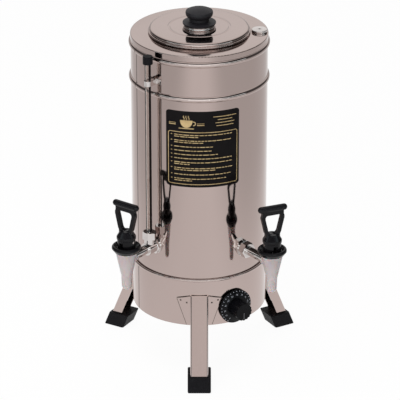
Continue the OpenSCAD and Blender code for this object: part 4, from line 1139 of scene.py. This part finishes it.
def studio_world():
    """The shaded sky for the mirror, and plain white for the camera."""
    world = bpy.data.worlds.new("studio")
    world.use_nodes = True
    tree = world.node_tree
    place = add_node(tree, "ShaderNodeTexCoord")
    split = add_node(tree, "ShaderNodeSeparateXYZ")
    dimmed = add_node(tree, "ShaderNodeVectorMath", operation="SCALE")
    rays = add_node(tree, "ShaderNodeLightPath")
    choose = add_node(tree, "ShaderNodeMix", data_type="RGBA")
    choose.inputs[MIX_SECOND].default_value = WHITE
    wire(tree,
         (place, "Generated", split, "Vector"),
         (sky_colour(tree, split), MIX_RESULT, dimmed, 0),
         (side_shade(tree, split), "Value", dimmed, "Scale"),
         (rays, "Is Camera Ray", choose, MIX_SHARE),
         (dimmed, "Vector", choose, MIX_FIRST),
         (choose, MIX_RESULT, tree.nodes["Background"], "Color"))
    return world


bpy.context.scene.world = studio_world()
bpy.context.scene.view_settings.view_transform = "Standard"
print("world:", bpy.context.scene.world.name)

# %% [markdown]
# ## Floor
# The floor is pale and large, because a wall seen from above mirrors it. The urn stands on a white sheet.
# Beyond the sheet's edges the floor's glow is darker, and darker still far off to the sides, which paints the
# shade of the light falling off there, so the sides of the drum mirror a darker tone than its front. The camera
# sees the floor as white with the urn's faint shadow.

# %% Lay the floor
FLOOR_HALF = 20.0
FLOOR_DROP = 0.0004
FLOOR_SHADE = 0.05
FLOOR_TONE = (0.90, 0.89, 0.88, 1.0)
SHEET_HALF = 0.14
TABLE_HALF = 0.78
TABLE_FALLOFF_SHADE = 0.72
FAR_HALF = 2.4
FAR_FALLOFF_SHADE = 0.75


def floor_finish():
    material = bpy.data.materials.new("pale_floor")
    material.use_nodes = True
    tree = material.node_tree
    tree.nodes.remove(tree.nodes["Principled BSDF"])
    matt = add_node(tree, "ShaderNodeBsdfDiffuse")
    matt.inputs["Color"].default_value = FLOOR_TONE
    glow = add_node(tree, "ShaderNodeEmission")
    place = add_node(tree, "ShaderNodeTexCoord")
    split = add_node(tree, "ShaderNodeSeparateXYZ")
    sideways = add_node(tree, "ShaderNodeMath", operation="ABSOLUTE")
    # Beyond the sheet the floor's glow darkens towards the sides: painted shade of the light falling off.
    table_falloff = soft_step(tree, (SHEET_HALF, TABLE_HALF), low=1.0, high=TABLE_FALLOFF_SHADE)
    far = soft_step(tree, (TABLE_HALF, FAR_HALF), low=1.0, high=FAR_FALLOFF_SHADE)
    floor_falloff = add_node(tree, "ShaderNodeMath", operation="MULTIPLY")
    strength = add_node(tree, "ShaderNodeMath", operation="MAXIMUM")
    shown = add_node(tree, "ShaderNodeMixShader")
    shown.inputs["Fac"].default_value = FLOOR_SHADE
    rays = add_node(tree, "ShaderNodeLightPath")
    seen = add_node(tree, "ShaderNodeMath", operation="MAXIMUM")
    seen_through = add_node(tree, "ShaderNodeMath", operation="MAXIMUM")
    choose = add_node(tree, "ShaderNodeMixShader")
    wire(tree,
         (place, "Object", split, "Vector"),
         (split, "X", sideways, 0),
         (sideways, "Value", table_falloff, "Value"),
         (sideways, "Value", far, "Value"),
         (table_falloff, "Result", floor_falloff, 0),
         (far, "Result", floor_falloff, 1),
         (floor_falloff, "Value", strength, 0),
         (rays, "Is Camera Ray", strength, 1),
         (strength, "Value", glow, "Strength"),
         (glow, "Emission", shown, 1),
         (matt, "BSDF", shown, 2),
         (rays, "Is Camera Ray", seen, 0),
         (rays, "Is Glossy Ray", seen, 1),
         (seen, "Value", seen_through, 0),
         (rays, "Is Transmission Ray", seen_through, 1),
         (seen_through, "Value", choose, "Fac"),
         (matt, "BSDF", choose, 1),
         (shown, "Shader", choose, 2),
         (choose, "Shader", tree.nodes["Material Output"], "Surface"))
    return material


corners = [(x * FLOOR_HALF, y * FLOOR_HALF, -FLOOR_DROP) for x, y in ((-1, -1), (1, -1), (1, 1), (-1, 1))]
floor = mesh_piece("floor", corners, [(0, 1, 2, 3)], floor_finish())
print("floor:", 2 * FLOOR_HALF, "m square")

# %% [markdown]
# ## Lights
# Two soft boxes light the dull parts, and the mirror doesn't show them. Two rows of wide strips stand in an
# arc in front, one near the floor and one higher. The mirror shows only these, as broad bright bands, and
# they are dim enough to leave the steel its tone.

# %% Hang the lights
MIDDLE = (0.0, 0.0, 0.28)
SOFT_BOXES = (
    ("front_box", (-1.7, -4.0, 2.2), (2.2, 1.2), 80.0),
    ("top_box", (-0.5, -0.4, 2.6), (1.8, 1.8), 30.0),
)
STRIP_RADIUS = 1.40
STRIP_WIDTH = 0.80
STRIP_GLOW = 1.6
STRIP_TINT = (0.78, 0.95, 1.0)
STRIP_TURNS = (-62, -31, 0, 31, 62)
LOW_STRIPS = (0.01, (0.12, 0.20, 0.32, 0.20, 0.12))
HIGH_STRIPS = (0.72, (0.26, 0.26, 0.26, 0.26, 0.26))


def soft_box(name, place, target, size, power):
    data = bpy.data.lights.new(name, "AREA")
    data.shape = "RECTANGLE"
    data.size = size[0]
    data.size_y = size[1]
    data.energy = power
    lamp = link_object(bpy.data.objects.new(name, data))
    lamp.location = place
    lamp.rotation_euler = (Vector(target) - Vector(place)).to_track_quat("-Z", "Y").to_euler()
    lamp.visible_camera = False
    return lamp


for name, place, size, power in SOFT_BOXES:
    soft_box(name, place, MIDDLE, size, power).visible_glossy = False
for low, heights in (LOW_STRIPS, HIGH_STRIPS):
    for turn, tall in zip(STRIP_TURNS, heights):
        spot = on_wall(STRIP_RADIUS, math.radians(turn), low + tall / 2)
        power = STRIP_GLOW * math.pi * STRIP_WIDTH * tall
        strip = soft_box("strip_" + str(turn % 360), spot, (0.0, 0.0, spot.z), (STRIP_WIDTH, tall), power)
        strip.data.color = STRIP_TINT
        strip.visible_diffuse = False
